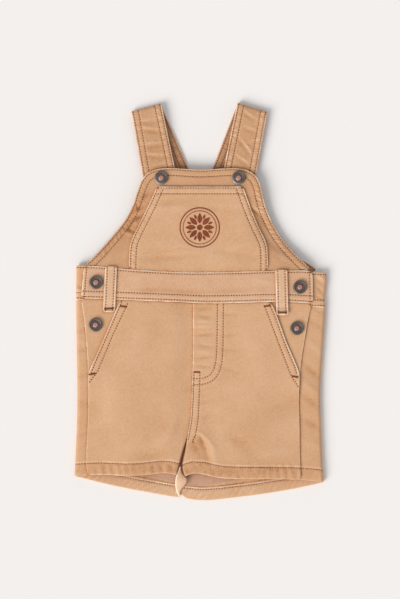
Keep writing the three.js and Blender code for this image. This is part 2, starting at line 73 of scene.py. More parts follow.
# A seam: its edge, how far in its rows of stitches are, how worn the edge is, the depth, pitch and slant
# of the puckers between its rows, how much paler its band is, how far in a pale ridge lies, how
# strongly a fold ends there as a groove and a painted shadow line, and the Y from which on the puckers fade.
NO_CALM = 1000
Seam = namedtuple(
    "Seam",
    "edge rows worn depth pitch slant band ridge fold calm",
    defaults=(0.8, 0, 6, 0.5, 0, 0, 0, NO_CALM),
)


# Small helpers for places and unevenness.
def smooth_share(value, low, high):
    """0 below low, 1 above high, and an even rise between them."""
    t = np.clip((value - low) / (high - low), 0, 1)
    return t * t * (3 - 2 * t)


def wander(along, size, seed):
    """A smooth random line from -1 to 1 that changes over a length of size."""
    values = np.random.default_rng(seed).uniform(-1, 1, 512)
    place = np.asarray(along) / size + 64
    cell = np.floor(place).astype(int)
    part = smooth_share(place - cell, 0, 1)
    return values[cell % 512] * (1 - part) + values[(cell + 1) % 512] * part


def unevenness(x, y, size, seed):
    """Smooth random hills from -1 to 1, about size across."""
    values = np.random.default_rng(seed).uniform(-1, 1, (64, 64))
    i, j = np.floor(x / size).astype(int), np.floor(y / size).astype(int)
    s, t = smooth_share(x / size - i, 0, 1), smooth_share(y / size - j, 0, 1)
    low = values[i % 64, j % 64] * (1 - s) + values[(i + 1) % 64, j % 64] * s
    high = values[i % 64, (j + 1) % 64] * (1 - s) + values[(i + 1) % 64, (j + 1) % 64] * s
    return low * (1 - t) + high * t


def creased(x, y, creases):
    """Height that a table of creases adds at each place."""
    height = np.zeros_like(x)
    for row in creases:
        turn = math.radians(row.turn)
        along = (x - row.x) * math.cos(turn) + (y - row.y) * math.sin(turn)
        across = (y - row.y) * math.cos(turn) - (x - row.x) * math.sin(turn)
        height += row.height * np.exp(-((along / row.reach) ** 2) - (across / row.width) ** 2)
    return height


# The soft folds of the cloth: a middle, a direction, a reach along it, a width and a height.
BIB_CREASES = [
    Crease(-34, 105, 6, 20, 3.6, -0.4),
    Crease(-28, 99, 4, 24, 3.2, 0.3),
    Crease(14, 98, -6, 26, 3.4, -0.35),
    Crease(-38, 61, -4, 24, 4.5, 0.3),
    Crease(-34, 47, 5, 26, 3.4, -0.5),
    Crease(-20, 52, 4, 20, 3, 0.3),
    Crease(30, 52, -8, 22, 4, -0.3),
    Crease(44, 60, 12, 16, 3.4, 0.3),
    Crease(-57, 112, 55, 6, 2.4, -0.9),
    Crease(-64.4, 98.3, 17, 6, 1.6, -0.9),
    Crease(-66, 88, 32, 5.5, 1.8, -0.9),
    Crease(-67, 92.5, 30, 5, 1.6, 0.6),
    Crease(-67, 82.5, -42, 4, 1.6, 0.5),
    Crease(-74, 75.3, -23, 6, 1.8, -0.9),
    Crease(-75, 71.5, -20, 6, 1.8, 0.5),
    Crease(-84, 56, 35, 14, 4, -0.6),
    Crease(-92, 50, 38, 12, 3, 0.4),
    Crease(58.4, 94, -39, 7, 1.8, -1.0),
    Crease(60.5, 97.5, -40, 6, 1.6, 0.6),
    Crease(61, 106, -52, 6, 1.8, -0.6),
    Crease(66, 84, -48, 8, 2.4, -0.6),
    Crease(78, 58, -40, 12, 3.6, -0.5),
    Crease(88, 47, -36, 12, 3, 0.4),
    Crease(-46, 114, 20, 8, 2.4, -0.4),
    Crease(47, 112, -24, 8, 2.4, -0.4),
]
WAIST_CREASES = [
    Crease(-52, 13, 2, 20, 3.4, -0.5),
    Crease(-14, 11.5, -1, 20, 3.2, -0.5),
    Crease(34, 12.5, 3, 24, 3.4, -0.4),
    Crease(66, 22, -12, 12, 3, 0.3),
    Crease(-70, 26, 8, 14, 3, 0.25),
    Crease(-30, 24, -6, 18, 3, 0.25),
]
# The creases across the front parts of the straps, each a pale ridge above a darker trough.
STRAP_CREASES = [
    Crease(-55, 192, 8, 9, 1.5, 0.5),
    Crease(-55, 188.5, 6, 9, 1.9, -0.4),
    Crease(-52, 183, -4, 12, 1.6, 0.6),
    Crease(-51, 179, -5, 11, 2, -0.5),
    Crease(-50, 167.6, 5, 11, 1.6, 0.6),
    Crease(-49, 163.6, 4, 10, 2, -0.5),
    Crease(-47, 156, -3, 11, 1.5, 0.7),
    Crease(-46, 152, -4, 10, 2, -0.55),
    Crease(-43, 146, 9, 8, 1.6, 0.4),
    Crease(52, 198, -34, 8, 1.6, 0.6),
    Crease(50, 195, -34, 8, 1.8, -0.4),
    Crease(54, 183, -23, 6, 1.5, 0.6),
    Crease(52, 179.5, -25, 7, 1.8, -0.4),
    Crease(49, 164, -53, 11, 1.5, 0.8),
    Crease(46.5, 162, -53, 10, 1.9, -0.5),
    Crease(45, 150.5, -35, 7, 1.5, 0.6),
    Crease(43.5, 147.5, -35, 7, 1.8, -0.4),
    Crease(58, 170, 12, 6, 1.8, 0.4),
]
LEG_CREASES = [
    Crease(4, -6, 3, 9, 2, -0.6),
    Crease(5, -15, -4, 8, 1.8, -0.55),
    Crease(4, -20, -3, 8, 1.8, 0.45),
    Crease(3, -25, 2, 10, 2, 0.5),
    Crease(4, -34, 4, 10, 1.8, -0.7),
    Crease(5, -46, -6, 9, 2, -0.6),
    Crease(4, -52, -4, 8, 1.8, 0.45),
    Crease(2, -58, 8, 9, 2, -0.6),
    Crease(3, -67, -3, 8, 1.8, -0.5),
    Crease(30, -13, 4, 9, 2.4, -0.4),
    Crease(31, -34, 8, 10, 2.6, -0.5),
    Crease(30, -50, 2, 11, 2.4, -0.4),
    Crease(28, -70, -20, 10, 2.6, -0.35),
    Crease(-12, -92, 20, 6, 2, -0.3),
    Crease(6, -104, 12, 9, 2.4, -0.35),
    Crease(5, -120, 24, 10, 2.6, -0.4),
    Crease(-22, -126, 66, 14, 3.4, -0.35),
    Crease(-34, -138, 48, 16, 5, 0.4),
    Crease(-62, -150, 12, 30, 8, 0.35),
    Crease(-40, -158, 8, 26, 6, -0.35),
    Crease(-96, -100, 84, 24, 8, 0.3),
    Crease(-104, -134, 10, 12, 4, -0.3),
    Crease(-64, -40, 78, 30, 12, 0.3),
    Crease(60, -60, -70, 34, 12, 0.3),
    Crease(70, -120, 24, 26, 9, -0.35),
    Crease(42, -148, -38, 22, 6, -0.4),
    Crease(-2, -137.4, -8, 5, 1.7, 0.55),
    Crease(4.2, -141, -38, 7, 1.9, 0.6),
    Crease(11.6, -150, -50, 8, 2.2, 0.4),
    Crease(2.2, -146, -66, 8, 2.2, -0.7),
    Crease(6, -159, -72, 10, 2.6, -0.6),
    Crease(14, -160, -74, 9, 3, 0.5),
    Crease(-6, -153, -60, 7, 3, -0.4),
    Crease(84, -156, 6, 22, 6, 0.3),
]
LAP_CREASES = [
    Crease(-126, -30, 8, 9, 2.4, -0.5),
    Crease(-125, -42, -12, 9, 2.6, 0.4),
    Crease(-125, -50, 6, 9, 2.4, -0.5),
    Crease(-124, -77, 14, 9, 3, -0.5),
    Crease(-125, -104, -10, 9, 3.6, -0.35),
    Crease(-126, -140, 8, 9, 4, -0.3),
    Crease(120, -22, -32, 12, 3, -0.5),
    Crease(119, -46, -40, 12, 3, 0.4),
    Crease(117, -72, -44, 14, 3.2, -0.6),
    Crease(115, -90, -40, 14, 3, 0.5),
    Crease(116, -104, -36, 14, 3.2, -0.55),
    Crease(117, -128, -30, 12, 3.6, -0.4),
    Crease(118, -150, -20, 12, 4, 0.3),
    Crease(-128, 17, -20, 5, 1.8, -0.7),
    Crease(-128, 12.5, -14, 5, 1.3, 0.6),
    Crease(-128, 6, 10, 5, 1.6, -0.6),
    Crease(126.4, 25.4, -32, 6, 1.3, 0.8),
    Crease(125.5, 20.6, -36, 5, 1.8, -0.5),
    Crease(125.5, 12.8, -45, 4.5, 1.2, -1.1),
    Crease(125.5, 4, -14, 5.5, 1.1, -1.0),
    Crease(125.5, -4.6, -17, 6, 1.3, 0.8),
    Crease(124.5, -9.5, -26, 6, 1.8, -0.5),
]
# Folds of the layers underneath, pressed up from the surface that they lie on.
UNDER_CREASES = [
    Crease(-60, -40, 70, 34, 5, 0.5),
    Crease(52, -52, -64, 30, 5, 0.5),
    Crease(-30, -128, 40, 26, 4, 0.6),
    Crease(26, -134, -46, 24, 4, 0.6),
    Crease(-84, -120, 10, 24, 6, 0.4),
    Crease(86, -104, -14, 24, 6, 0.4),
    Crease(-40, 14, 4, 24, 3, 0.4),
    Crease(48, 12, -4, 24, 3, 0.4),
]


# Broad places where the cloth is drawn darker or paler, in the same columns; a height here is a change of
# tone.
TONE_PATCHES = [
    Crease(-100, 62, 42, 26, 10, -0.5),
    Crease(-68, 96, 62, 26, 8, -0.45),
    # painted shade beside the crotch fold
    Crease(-4, -152, -60, 12, 8, -0.5),
    Crease(60, -176, 0, 70, 9, -0.35),
    Crease(-70, -174, 0, 60, 8, -0.2),
    Crease(118, -110, 90, 50, 10, -0.2),
]


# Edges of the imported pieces, read from their solids.
MERGE = 1e-6
GRID_SHARE = 5.0  # how far the pairing of triangles keeps to the rows and columns of a solid


def merged(name):
    """A copy of a node's mesh as one closed surface of four-sided faces."""
    wall = bmesh.new()
    wall.from_mesh(NODES[name].data)
    bmesh.ops.remove_doubles(wall, verts=wall.verts, dist=MERGE)
    bmesh.ops.join_triangles(
        wall,
        faces=wall.faces,
        angle_face_threshold=math.pi,
        angle_shape_threshold=math.pi,
        topology_influence=GRID_SHARE,
    )
    return wall


def is_corner(vert):
    return len(vert.link_edges) == 3


def straight_on(vert, edge):
    """The edges met going straight on from a vertex up to the next corner, and that corner."""
    run = [edge]
    vert = edge.other_vert(vert)
    while not is_corner(vert):
        faces = set(edge.link_faces)
        edge = next(e for e in vert.link_edges if not faces & set(e.link_faces))
        run.append(edge)
        vert = edge.other_vert(vert)
    return run, vert


def rings_of(wall):
    """The closed edges of a wall's outer and inner surface, each as its edges in order. Of the three edges
    at a corner, two lie along a surface's edge and the third goes across to the other surface."""
    corners = [vert for vert in wall.verts if is_corner(vert)]
    rings = []
    while corners:
        start = vert = corners[0]
        ring = []
        while not ring or vert != start:
            corners.remove(vert)
            runs = [straight_on(vert, edge) for edge in vert.link_edges]
            run, vert = next(r for r in runs if len(r[0]) > 1 and (not ring or r[0][0] != ring[-1]))
            ring += run
        rings.append((start, ring))
    return rings


def inward_of(edge, other_rim):
    """The way from an edge across its surface, which is the face that doesn't reach the other rim."""
    face = next(face for face in edge.link_faces if not other_rim & set(face.verts))
    start, end = (vert.co for vert in edge.verts)
    along = (end - start).normalized()
    across = face.calc_center_median() - (start + end) / 2
    return (across - along * across.dot(along)).normalized()


def rims(name):
    """The closed edges of a node's outer and inner surface: points, each step's way inward, corner marks."""
    wall = merged(name)
    rings = rings_of(wall)
    found = []
    for (start, ring), (_, other) in zip(rings, rings[::-1]):
        other_rim = {vert for edge in other for vert in edge.verts}
        verts = [start]
        for edge in ring[:-1]:
            verts.append(edge.other_vert(verts[-1]))
        points = np.array([vert.co for vert in verts]) / MM
        ways = np.array([inward_of(edge, other_rim) for edge in ring])
        found.append((points, ways, np.array([is_corner(vert) for vert in verts])))
    wall.free()
    if name in WRAPPED:
        found.sort(key=lambda rim: -np.ptp(rim[0][:, 2]))
    else:
        found.sort(key=lambda rim: -rim[0][:, 2].mean())
    return found


WRAPPED = ("back_left", "back_right", "back_waistband", "strap_left", "strap_right")
RIMS = {}


def corner_at(rim, towards):
    """The corner of a closed edge that lies furthest towards a direction, measured on its box."""
    points, _, corner = rim
    low, high = points.min(0), points.max(0)
    placed = (points - (low + high) / 2) / np.maximum((high - low) / 2, 1)
    reach = placed[:, : len(towards)] @ np.array(towards, float)
    return int(np.argmax(np.where(corner, reach, -np.inf)))


def edge_of(name, start, end, far=False, inner=False):
    """The stretch of a node's edge between two of its corners, in even steps of a millimetre."""
    if name not in RIMS:
        RIMS[name] = rims(name)
    rim = RIMS[name][1 if inner else 0]
    points, ways, _ = rim
    first, last = corner_at(rim, start), corner_at(rim, end)
    count = len(points)
    forward = [(first + k) % count for k in range((last - first) % count + 1)]
    backward = [(first - k) % count for k in range((first - last) % count + 1)]
    lengths = [np.linalg.norm(np.diff(points[way], axis=0), axis=1).sum() for way in (forward, backward)]
    if (lengths[0] < lengths[1]) != far:
        path, steps = forward, ways[forward[:-1]]
    else:
        path, steps = backward, ways[backward[1:]]
    inward = np.vstack((steps[:1], (steps[:-1] + steps[1:]) / 2, steps[-1:]))
    return even(softened(points[path]), inward)


def softened(points):
    """The curve that a subdivided edge takes from its control points, with its ends kept."""
    middle = (points[:-2] + 4 * points[1:-1] + points[2:]) / 6
    return np.vstack((points[:1], middle, points[-1:]))


def even(points, inward, step=1.0):
    """Points and ways inward along a path, one for each step of it."""
    run = np.concatenate(([0], np.cumsum(np.linalg.norm(np.diff(points, axis=0), axis=1))))
    places = np.linspace(0, run[-1], max(int(run[-1] / step), 2))
    sampled = np.column_stack([np.interp(places, run, points[:, k]) for k in range(3)])
    ways = np.column_stack([np.interp(places, run, inward[:, k]) for k in range(3)])
    ways /= np.linalg.norm(ways, axis=1, keepdims=True)
    return Edge(sampled, ways)


DRAWN_ROUNDS = 24  # each rounds a drawn path by half a millimetre


def drawn(places, height):
    """A smooth path drawn on a panel, from places in plan; its ways inward are to its left."""
    points = np.array([(x, y, height) for x, y in places], float)
    points = even(points, np.ones_like(points)).points
    for _ in range(DRAWN_ROUNDS):
        points = softened(points)
    along = np.gradient(points, axis=0)
    inward = np.column_stack((-along[:, 1], along[:, 0], np.zeros(len(points))))
    return even(points, inward)


def part_of(edge, low, high):
    """The stretch of an edge whose Y is between two values."""
    kept = (edge.points[:, 1] >= low) & (edge.points[:, 1] <= high)
    return Edge(edge.points[kept], edge.inward[kept])


def raised(edge, height):
    """The flat stretch of a back piece's edge, moved up to the piece's inside."""
    flat = edge.points[:, 2] < 0.5
    return Edge(edge.points[flat] + np.array((0, 0, height)), edge.inward[flat])


# Places of the seams that no edge gives.
HEM_WALL = 2.6
POCKET_END_Y = -76
CROTCH_Y = -146
TACK_Y = -72
LEG_HEIGHT = 11.3
FLY_EDGE = [
    (-7.6, -86.9),
    (4, -86.4),
    (13.6, -82.4),
    (20, -74),
    (22.8, -62),
    (23.7, -45),
    (24.3, -1.1),
]
POCKET_ROWS = {
    "front_left": [(-76.1, -0.8), (-79.3, -8.2), (-90.5, -31.5), (-107.9, -73.1), (-117, -84.6)],
    "front_right": [(67.2, -3.8), (73, -18.9), (81.7, -42.3), (95.8, -78.4), (102.9, -89.6)],
}
TOP_LEFT, TOP_RIGHT, BOTTOM_LEFT, BOTTOM_RIGHT = (-1, 1), (1, 1), (-1, -1), (1, -1)


def bib_seams():
    armholes = edge_of("bib_front", BOTTOM_LEFT, BOTTOM_RIGHT, far=True)
    return [Seam(armholes, (1.7, 7.6), worn=1.1, depth=0.5, pitch=5.6, slant=0.7, band=0.04, calm=118)]


def pocket_seams():
    top = edge_of("bib_pocket", TOP_LEFT, TOP_RIGHT)
    seams = [Seam(top, (1.5, 7.6), worn=1.2, depth=0.16, pitch=9, band=0.08)]
    for low, high, worn in ((BOTTOM_LEFT, TOP_LEFT, 1.0), (BOTTOM_RIGHT, TOP_RIGHT, 1.5)):
        side = edge_of("bib_pocket", low, high)
        seams.append(Seam(side, (1.7, 7.2), worn=worn, depth=0.36, pitch=5.4, band=0.02))
    return seams


def waistband_seams():
    name = "front_waistband"
    bottom = edge_of(name, BOTTOM_LEFT, BOTTOM_RIGHT)
    seams = [
        Seam(edge_of(name, TOP_LEFT, TOP_RIGHT), (2.1,), worn=1.1, depth=0.1, pitch=7),
        Seam(bottom, (2.2, 7.9), worn=1.2, depth=0.14, pitch=4, band=0.08),
    ]
    for low, high in ((BOTTOM_LEFT, TOP_LEFT), (BOTTOM_RIGHT, TOP_RIGHT)):
        seams.append(Seam(edge_of(name, low, high), (3.2,), worn=1.7))
    return seams


def front_seams(name, outer, inner):
    """The seams of one front leg; outer and inner are -1 or 1, the sides its side seam and inseam are on."""
    side = edge_of(name, (outer, 1), (outer, -1))
    pocket = part_of(side, POCKET_END_Y, 10)
    hem = edge_of(name, (outer, -1), (inner, -1))
    return [
        Seam(pocket, (2.2,), worn=1.4, band=0.06),
        Seam(drawn(POCKET_ROWS[name], LEG_HEIGHT), (0,), worn=0),
        Seam(part_of(side, -300, POCKET_END_Y), (), worn=0.7),
        Seam(hem, (12.4,), worn=1.1, depth=0.14, pitch=8.6, slant=0.1, band=-0.18, ridge=14),
    ]


def left_front_seams():
    return front_seams("front_left", -1, 1)


def right_front_seams():
    centre = edge_of("front_right", TOP_LEFT, BOTTOM_LEFT)
    placket = part_of(centre, CROTCH_Y + 1, TACK_Y)
    return front_seams("front_right", 1, -1) + [
        Seam(part_of(centre, TACK_Y, 10), (), worn=1.3),
        Seam(placket, (1.5, 7.7), worn=1.2, depth=0.36, pitch=2.8, slant=0, band=0.1),
        Seam(part_of(centre, -300, CROTCH_Y), (), worn=0.7),
        Seam(drawn(FLY_EDGE, LEG_HEIGHT), (0, 6.4), worn=0, depth=0.22, pitch=5),
    ]


def back_seams(name, outer):
    """The hem, the turned edge inside it and the centre seam of one back leg."""
    hem = edge_of(name, (outer, -1), (-outer, -1))
    centre = edge_of(name, (-outer, -1), (-outer, 1))
    return [
        Seam(hem, (12.4,), worn=0.9, depth=0.1, pitch=7, band=-0.1, ridge=14),
        Seam(raised(hem, HEM_WALL), (11,), worn=0.3, depth=0.4, pitch=7, slant=0.8, ridge=12.4, fold=1),
        Seam(centre, (1.6, 7.6) if outer < 0 else (), worn=0.5, depth=0.2 if outer < 0 else 0),
    ]


def back_waistband_seams():
    top = edge_of("back_waistband", TOP_LEFT, TOP_RIGHT)
    bottom = edge_of("back_waistband", BOTTOM_LEFT, BOTTOM_RIGHT)
    inside = edge_of("back_waistband", TOP_LEFT, TOP_RIGHT, inner=True)
    return [
        Seam(top, (2,), worn=1.0, depth=0.1),
        Seam(bottom, (2.2, 7.9), worn=1.0, depth=0.24, pitch=5, band=0.1),
        Seam(inside, (2,), worn=0.5),
    ]


def back_bib_seams():
    edge = edge_of("back_bib", BOTTOM_LEFT, BOTTOM_RIGHT, far=True)
    return [Seam(edge, (1.7, 7.6), worn=0.6, depth=0.2)]


def strap_seams(name, outer):
    """Two rows of stitches along each long edge of a strap, on its face and on its inside."""
    seams = []
    for side, worn, depth in ((outer, 0.8, 0.2), (-outer, 1.2, 0.3)):
        for inner in (False, True):
            edge = edge_of(name, (side, -1, 1), (side, -1, -1), inner=inner)
            seams.append(
                Seam(edge, (1.6, 7.1), worn=worn, depth=depth, pitch=6.4, slant=0.2, band=0.02)
            )
    return seams


def panel_seams(name, outer):
    return [Seam(edge_of(name, (outer, 1), (outer, -1)), (), worn=1.2)]


def loop_seams(name):
    sides = [
        Seam(edge_of(name, (s, -1), (s, 1)), (2.4,), worn=1.0, depth=0.2, pitch=5) for s in (-1, 1)
    ]
    return sides + [Seam(edge_of(name, BOTTOM_LEFT, BOTTOM_RIGHT), (), worn=1.0)]


def curl_seams():
    return [Seam(edge_of("inseam_hem", (s, -1), (s, 1)), (), worn=1.2) for s in (-1, 1)]


# The pieces of cloth: how finely each is subdivided, its finish, its flat cut in metres and its area
# in square metres, what it rests on and how much paler its dye is.
CLOTHS = {
    "back_left": Cloth(3, "face", (0.15, 0.209), 0.0293, ()),
    "back_right": Cloth(3, "face", (0.178, 0.209), 0.0353, ()),
    "back_waistband": Cloth(3, "face", (0.345, 0.0375), 0.0128, ()),
    "back_bib": Cloth(3, "inside", (0.254, 0.081), 0.0109, ()),
    "strap_left": Cloth(3, "strap", (0.034, 0.195), None, ("back_bib",)),
    "strap_right": Cloth(3, "strap", (0.034, 0.196), None, ("back_bib",)),
    "side_panel_left": Cloth(3, "face", (0.048, 0.081), 0.0022, ("back_left",)),
    "side_panel_right": Cloth(3, "face", (0.05, 0.078), 0.0022, ("back_right",)),
    "bib_front": Cloth(3, "bib", (0.239, 0.109), 0.0176, ("strap_left", "strap_right")),
    "bib_pocket": Cloth(3, "face", (0.146, 0.089), 0.0113, ("bib_front",)),
    "front_left": Cloth(3, "face", (0.122, 0.184), 0.0192, ("side_panel_left", "back_left")),
    "front_right": Cloth(3, "face", (0.13, 0.187), 0.0205, ("side_panel_right", "back_right")),
    "front_waistband": Cloth(3, "band", (0.244, 0.036), 0.0086, ("back_waistband",)),
    "inseam_hem": Cloth(3, "band", (0.0125, 0.0315), 0.00025, ("back_right",), 0.3),
    "belt_loop_left": Cloth(3, "band", (0.0124, 0.05), None, ("front_waistband",), 0.2),
    "belt_loop_right": Cloth(3, "band", (0.0124, 0.051), None, ("front_waistband",), 0.2),
}
SEAMS = {
    "back_left": lambda: back_seams("back_left", -1),
    "back_right": lambda: back_seams("back_right", 1),
    "back_waistband": back_waistband_seams,
    "back_bib": back_bib_seams,
    "strap_left": lambda: strap_seams("strap_left", -1),
    "strap_right": lambda: strap_seams("strap_right", 1),
    "side_panel_left": lambda: panel_seams("side_panel_left", -1),
    "side_panel_right": lambda: panel_seams("side_panel_right", 1),
    "bib_front": bib_seams,
    "bib_pocket": pocket_seams,
    "front_left": left_front_seams,
    "front_right": right_front_seams,
    "front_waistband": waistband_seams,
    "inseam_hem": curl_seams,
    "belt_loop_left": lambda: loop_seams("belt_loop_left"),
    "belt_loop_right": lambda: loop_seams("belt_loop_right"),
}
# Which piece lies along which, so that the lower one gets a painted shadow beside the upper one's edge.
COVERED = {
    "bib_front": ("bib_pocket", "front_waistband"),
    "bib_pocket": ("front_waistband",),
    "front_left": ("front_waistband", "front_right"),
    "front_right": ("front_waistband",),
    "side_panel_left": ("front_left", "belt_loop_left", "front_waistband"),
    "side_panel_right": ("front_right", "belt_loop_right", "front_waistband"),
    "back_left": ("front_left", "side_panel_left", "front_waistband"),
    "back_right": ("front_right", "side_panel_right", "front_waistband"),
    "back_waistband": ("front_waistband",),
    "front_waistband": ("belt_loop_left", "belt_loop_right"),
    "strap_left": ("bib_front",),
    "strap_right": ("bib_front",),
}


# Relief of the cloth: how far each kind moves it, in millimetres, and how much it pales or darkens it, as
# wear and as painted light and shade.
CALM_REACH = 10  # the stretch over which a seam's puckers fade
SWELL_MOVE, SWELL_WEAR = 0.08, 0.05
SWELL_PLACE, SWELL_WIDTH = 2.1, 1.2
GROOVE_WEAR = 0.16
PUCKER_WEAR = 0.7  # for each millimetre of a pucker's height
RIDGE_WIDTH, RIDGE_MOVE, RIDGE_WEAR = 0.85, 0.14, 0.6
# The dark line where a hem's fold ends is a groove and a painted shadow.
FOLD_PLACE, FOLD_WIDTH, FOLD_MOVE, FOLD_PAINTED_SHADOW = 1.7, 0.75, 0.35, 1.3
PAINTED_SHADOW_CORE, PAINTED_SHADOW_HALO = (0.65, 1.2), (0.35, 3)  # strength and width of the two parts of a painted shadow beside an overlying edge
# how strongly the painted shadow beside an overlying edge darkens the cloth
NEIGHBOUR_PAINTED_SHADOW = 0.52
LIFT_PAINTED_LIGHT = 0.45  # painted highlight and shade: how much paler a crease's top and darker its trough are drawn for each millimetre of its height


def follow(places, facing, path, reach=NEAR):
    """How far along a path each place is, how far from it, and how far to its side, out to a reach."""
    along = np.zeros(len(places))
    gap = np.full(len(places), reach, float)
    side = np.zeros(len(places))
    run = 0.0
    for start, end in zip(path[:-1], path[1:]):
        step = end - start
        length = float(np.linalg.norm(step))
        if length == 0:
            continue
        middle = (start + end) / 2
        limit = reach + length / 2
        close = np.flatnonzero((np.abs(places - middle) < limit).all(1))
        if not len(close):
            run += length
            continue
        offset = places[close] - start
        part = np.clip(offset @ step / length**2, 0, 1)
        away = offset - part[:, None] * step
        distance = np.linalg.norm(away, axis=1)
        better = distance < gap[close]
        chosen = close[better]
        gap[chosen] = distance[better]
        along[chosen] = run + part[better] * length
        across = np.cross(step / length, facing[chosen])
        side[chosen] = (across * away[better]).sum(1)
        run += length
    return along, gap, side


def bell(gap, width):
    return np.exp(-((gap / width) ** 2))


def snapped(tree, points):
    """The nearest places on a piece to some points, and the directions that its surface faces there."""
    found = [tree.find_nearest(Vector(point) * MM) for point in points]
    return (
        np.array([tuple(hit[0]) for hit in found]) / MM,
        np.array([tuple(hit[1]) for hit in found]),
    )


def row_path(tree, edge, inset):
    """The path of a row of stitches at a distance in from an edge, on the piece."""
    return snapped(tree, edge.points + edge.inward * inset)[0]


def puckered(along, side, seam, half, seed):
    """The ridges that a double row of stitches gathers between its rows, uneven in length and strength."""
    drift = 0.45 * wander(along, seam.pitch * 2.6, seed)
    wave = np.cos(2 * math.pi * ((along + seam.slant * side) / seam.pitch + drift))
    strength = 0.55 + 0.45 * wander(along, seam.pitch * 2.1, seed + 1)
    return (0.2 + 0.8 * wave) * strength * smooth_share(half - np.abs(side), 0.1, 1.9)


def worn_edge(places, facing, tree, seam, key):
    """The pale line that wear leaves along an edge. It takes the same arguments as the other kinds of
    relief, and moves nothing."""
    along, gap, _ = follow(places, facing, seam.edge.points)
    line = bell(gap, EDGE_WIDTH) * (gap < NEAR)
    broken = 0.6 + 0.3 * wander(along, 7, key) + 0.15 * wander(along, 2.6, key)
    return np.zeros(len(places)), seam.worn * line * broken


def sewn_rows(places, facing, tree, seam, key):
    """The groove that each row of stitches pulls into the cloth, and the swelling beside it."""
    move = np.zeros(len(places))
    wear_and_painted_light = np.zeros(len(places))
    for inset in seam.rows:
        along, gap, _ = follow(places, facing, row_path(tree, seam.edge, inset))
        groove = bell(gap, GROOVE_WIDTH) * (gap < NEAR)
        swell = bell(gap - SWELL_PLACE, SWELL_WIDTH) * (gap < NEAR)
        move += SWELL_MOVE * swell - GROOVE_DEPTH * groove
        wear_and_painted_light += SWELL_WEAR * swell - GROOVE_WEAR * groove * (0.8 + 0.4 * wander(along, 9, key + 3))
    return move, wear_and_painted_light


def gathered_band(places, facing, tree, seam, key):
    """The puckers and the tone of the band between a seam's rows, or between its edge and its only row."""
    inner = seam.rows[-1]
    outer = seam.rows[0] if len(seam.rows) > 1 else 0
    half = (inner - outer) / 2
    path = row_path(tree, seam.edge, (inner + outer) / 2)
    along, gap, side = follow(places, facing, path, half + 1)
    within = smooth_share(half - gap, -0.6, 0.6)
    ridge = puckered(along, side, seam, half, key + 5) * within
    ridge *= 1 - smooth_share(places[:, 1], seam.calm, seam.calm + CALM_REACH)
    return seam.depth * ridge, PUCKER_WEAR * seam.depth * ridge + seam.band * within


def hem_ridge(places, facing, tree, seam, key):
    """The pale ridge over a hem's inner edge, and the groove and painted shadow line where its fold ends."""
    along, gap, _ = follow(places, facing, row_path(tree, seam.edge, seam.ridge))
    ridge = bell(gap, RIDGE_WIDTH) * (gap < NEAR) * (0.8 + 0.3 * wander(along, 8, key + 7))
    _, gap, _ = follow(places, facing, row_path(tree, seam.edge, seam.ridge + FOLD_PLACE))
    fold = seam.fold * bell(gap, FOLD_WIDTH) * (gap < NEAR)
    return RIDGE_MOVE * ridge - FOLD_MOVE * fold, RIDGE_WEAR * ridge - FOLD_PAINTED_SHADOW * fold


def seam_relief(places, facing, tree, seams, seed):
    """The move along its facing, and the wear and painted shadow, that the seams give each place of a piece.
    """
    move = np.zeros(len(places))
    wear_and_painted_light = np.zeros(len(places))
    for number, seam in enumerate(seams):
        parts = [worn_edge] if seam.worn else []
        parts += [sewn_rows] if seam.rows else []
        parts += [gathered_band] if seam.depth or seam.band else []
        parts += [hem_ridge] if seam.ridge else []
        for part in parts:
            added_move, added_wear_and_painted_light = part(places, facing, tree, seam, seed + 10 * number)
            move += added_move
            wear_and_painted_light += added_wear_and_painted_light
    return move, wear_and_painted_light


def painted_shadow_of_neighbours(name, places, facing):
    """The painted shadow, a darker tone, that a piece gets beside the edges of what lies over it."""
    shade = np.zeros(len(places))
    flat = places.copy()
    flat[:, 2] = 0
    for other in COVERED.get(name, ()):
        if other not in RIMS:
            RIMS[other] = rims(other)
        points = RIMS[other][0][0].copy()
        points[:, 2] = 0
        path = softened(np.vstack((points, points[:1])))
        _, gap, _ = follow(flat, facing, path)
        line = sum(strength * bell(gap, width) for strength, width in (PAINTED_SHADOW_CORE, PAINTED_SHADOW_HALO))
        shade = np.maximum(shade, line * (gap < NEAR))
    return shade * (facing[:, 2] > 0)


def sway(name, places):
    """How far the cloth's soft folds lift each place of a piece."""
    x, y, z = places.T
    upper = creased(x, y, BIB_CREASES + WAIST_CREASES + LEG_CREASES)
    upper += 0.22 * unevenness(x, y, 26, 3) + 0.12 * unevenness(x, y, 11, 4)
    if name in ("front_left", "front_right"):
        upper += hem_ripple(x, y)
    if name not in WRAPPED and name != "back_bib":
        return upper
    lap = creased(x, y, LAP_CREASES) + 0.12 * unevenness(x, y, 9, 5)
    under = creased(x, y, UNDER_CREASES) + 0.25 + 0.25 * unevenness(x, y, 18, 6)
    if name.startswith("back"):
        under += back_hem_ripple(x, y)
        inside = smooth_share(132 - np.abs(x), 4, 14)
        return lap * smooth_share(z, 4.5, 6.5) + under * inside * (1 - smooth_share(z, 2.5, 4))
    wrinkled = creased(x, y, STRAP_CREASES) + 0.15 * unevenness(x, y, 7, 8)
    return wrinkled * smooth_share(z, 4.5, 6) + 0.4 * under * (1 - smooth_share(z, 2.5, 4))


STRAP_BACK_PAINTED_SHADE = -0.4  # painted shade added to the tone of the low parts of a strap, which lie beside and under its upper part


def tone_and_painted_shade(name, places):
    """How much paler or darker each place of a piece is drawn: its piece's tone, the broad patches, and
    painted shade on the low parts of a strap.
    """
    x, y, z = places.T
    tone = CLOTHS[name].shade + creased(x, y, TONE_PATCHES) * smooth_share(z, 4, 6)
    if name.startswith("strap"):
        tone += STRAP_BACK_PAINTED_SHADE * (1 - smooth_share(z, 3, 5))
    return tone


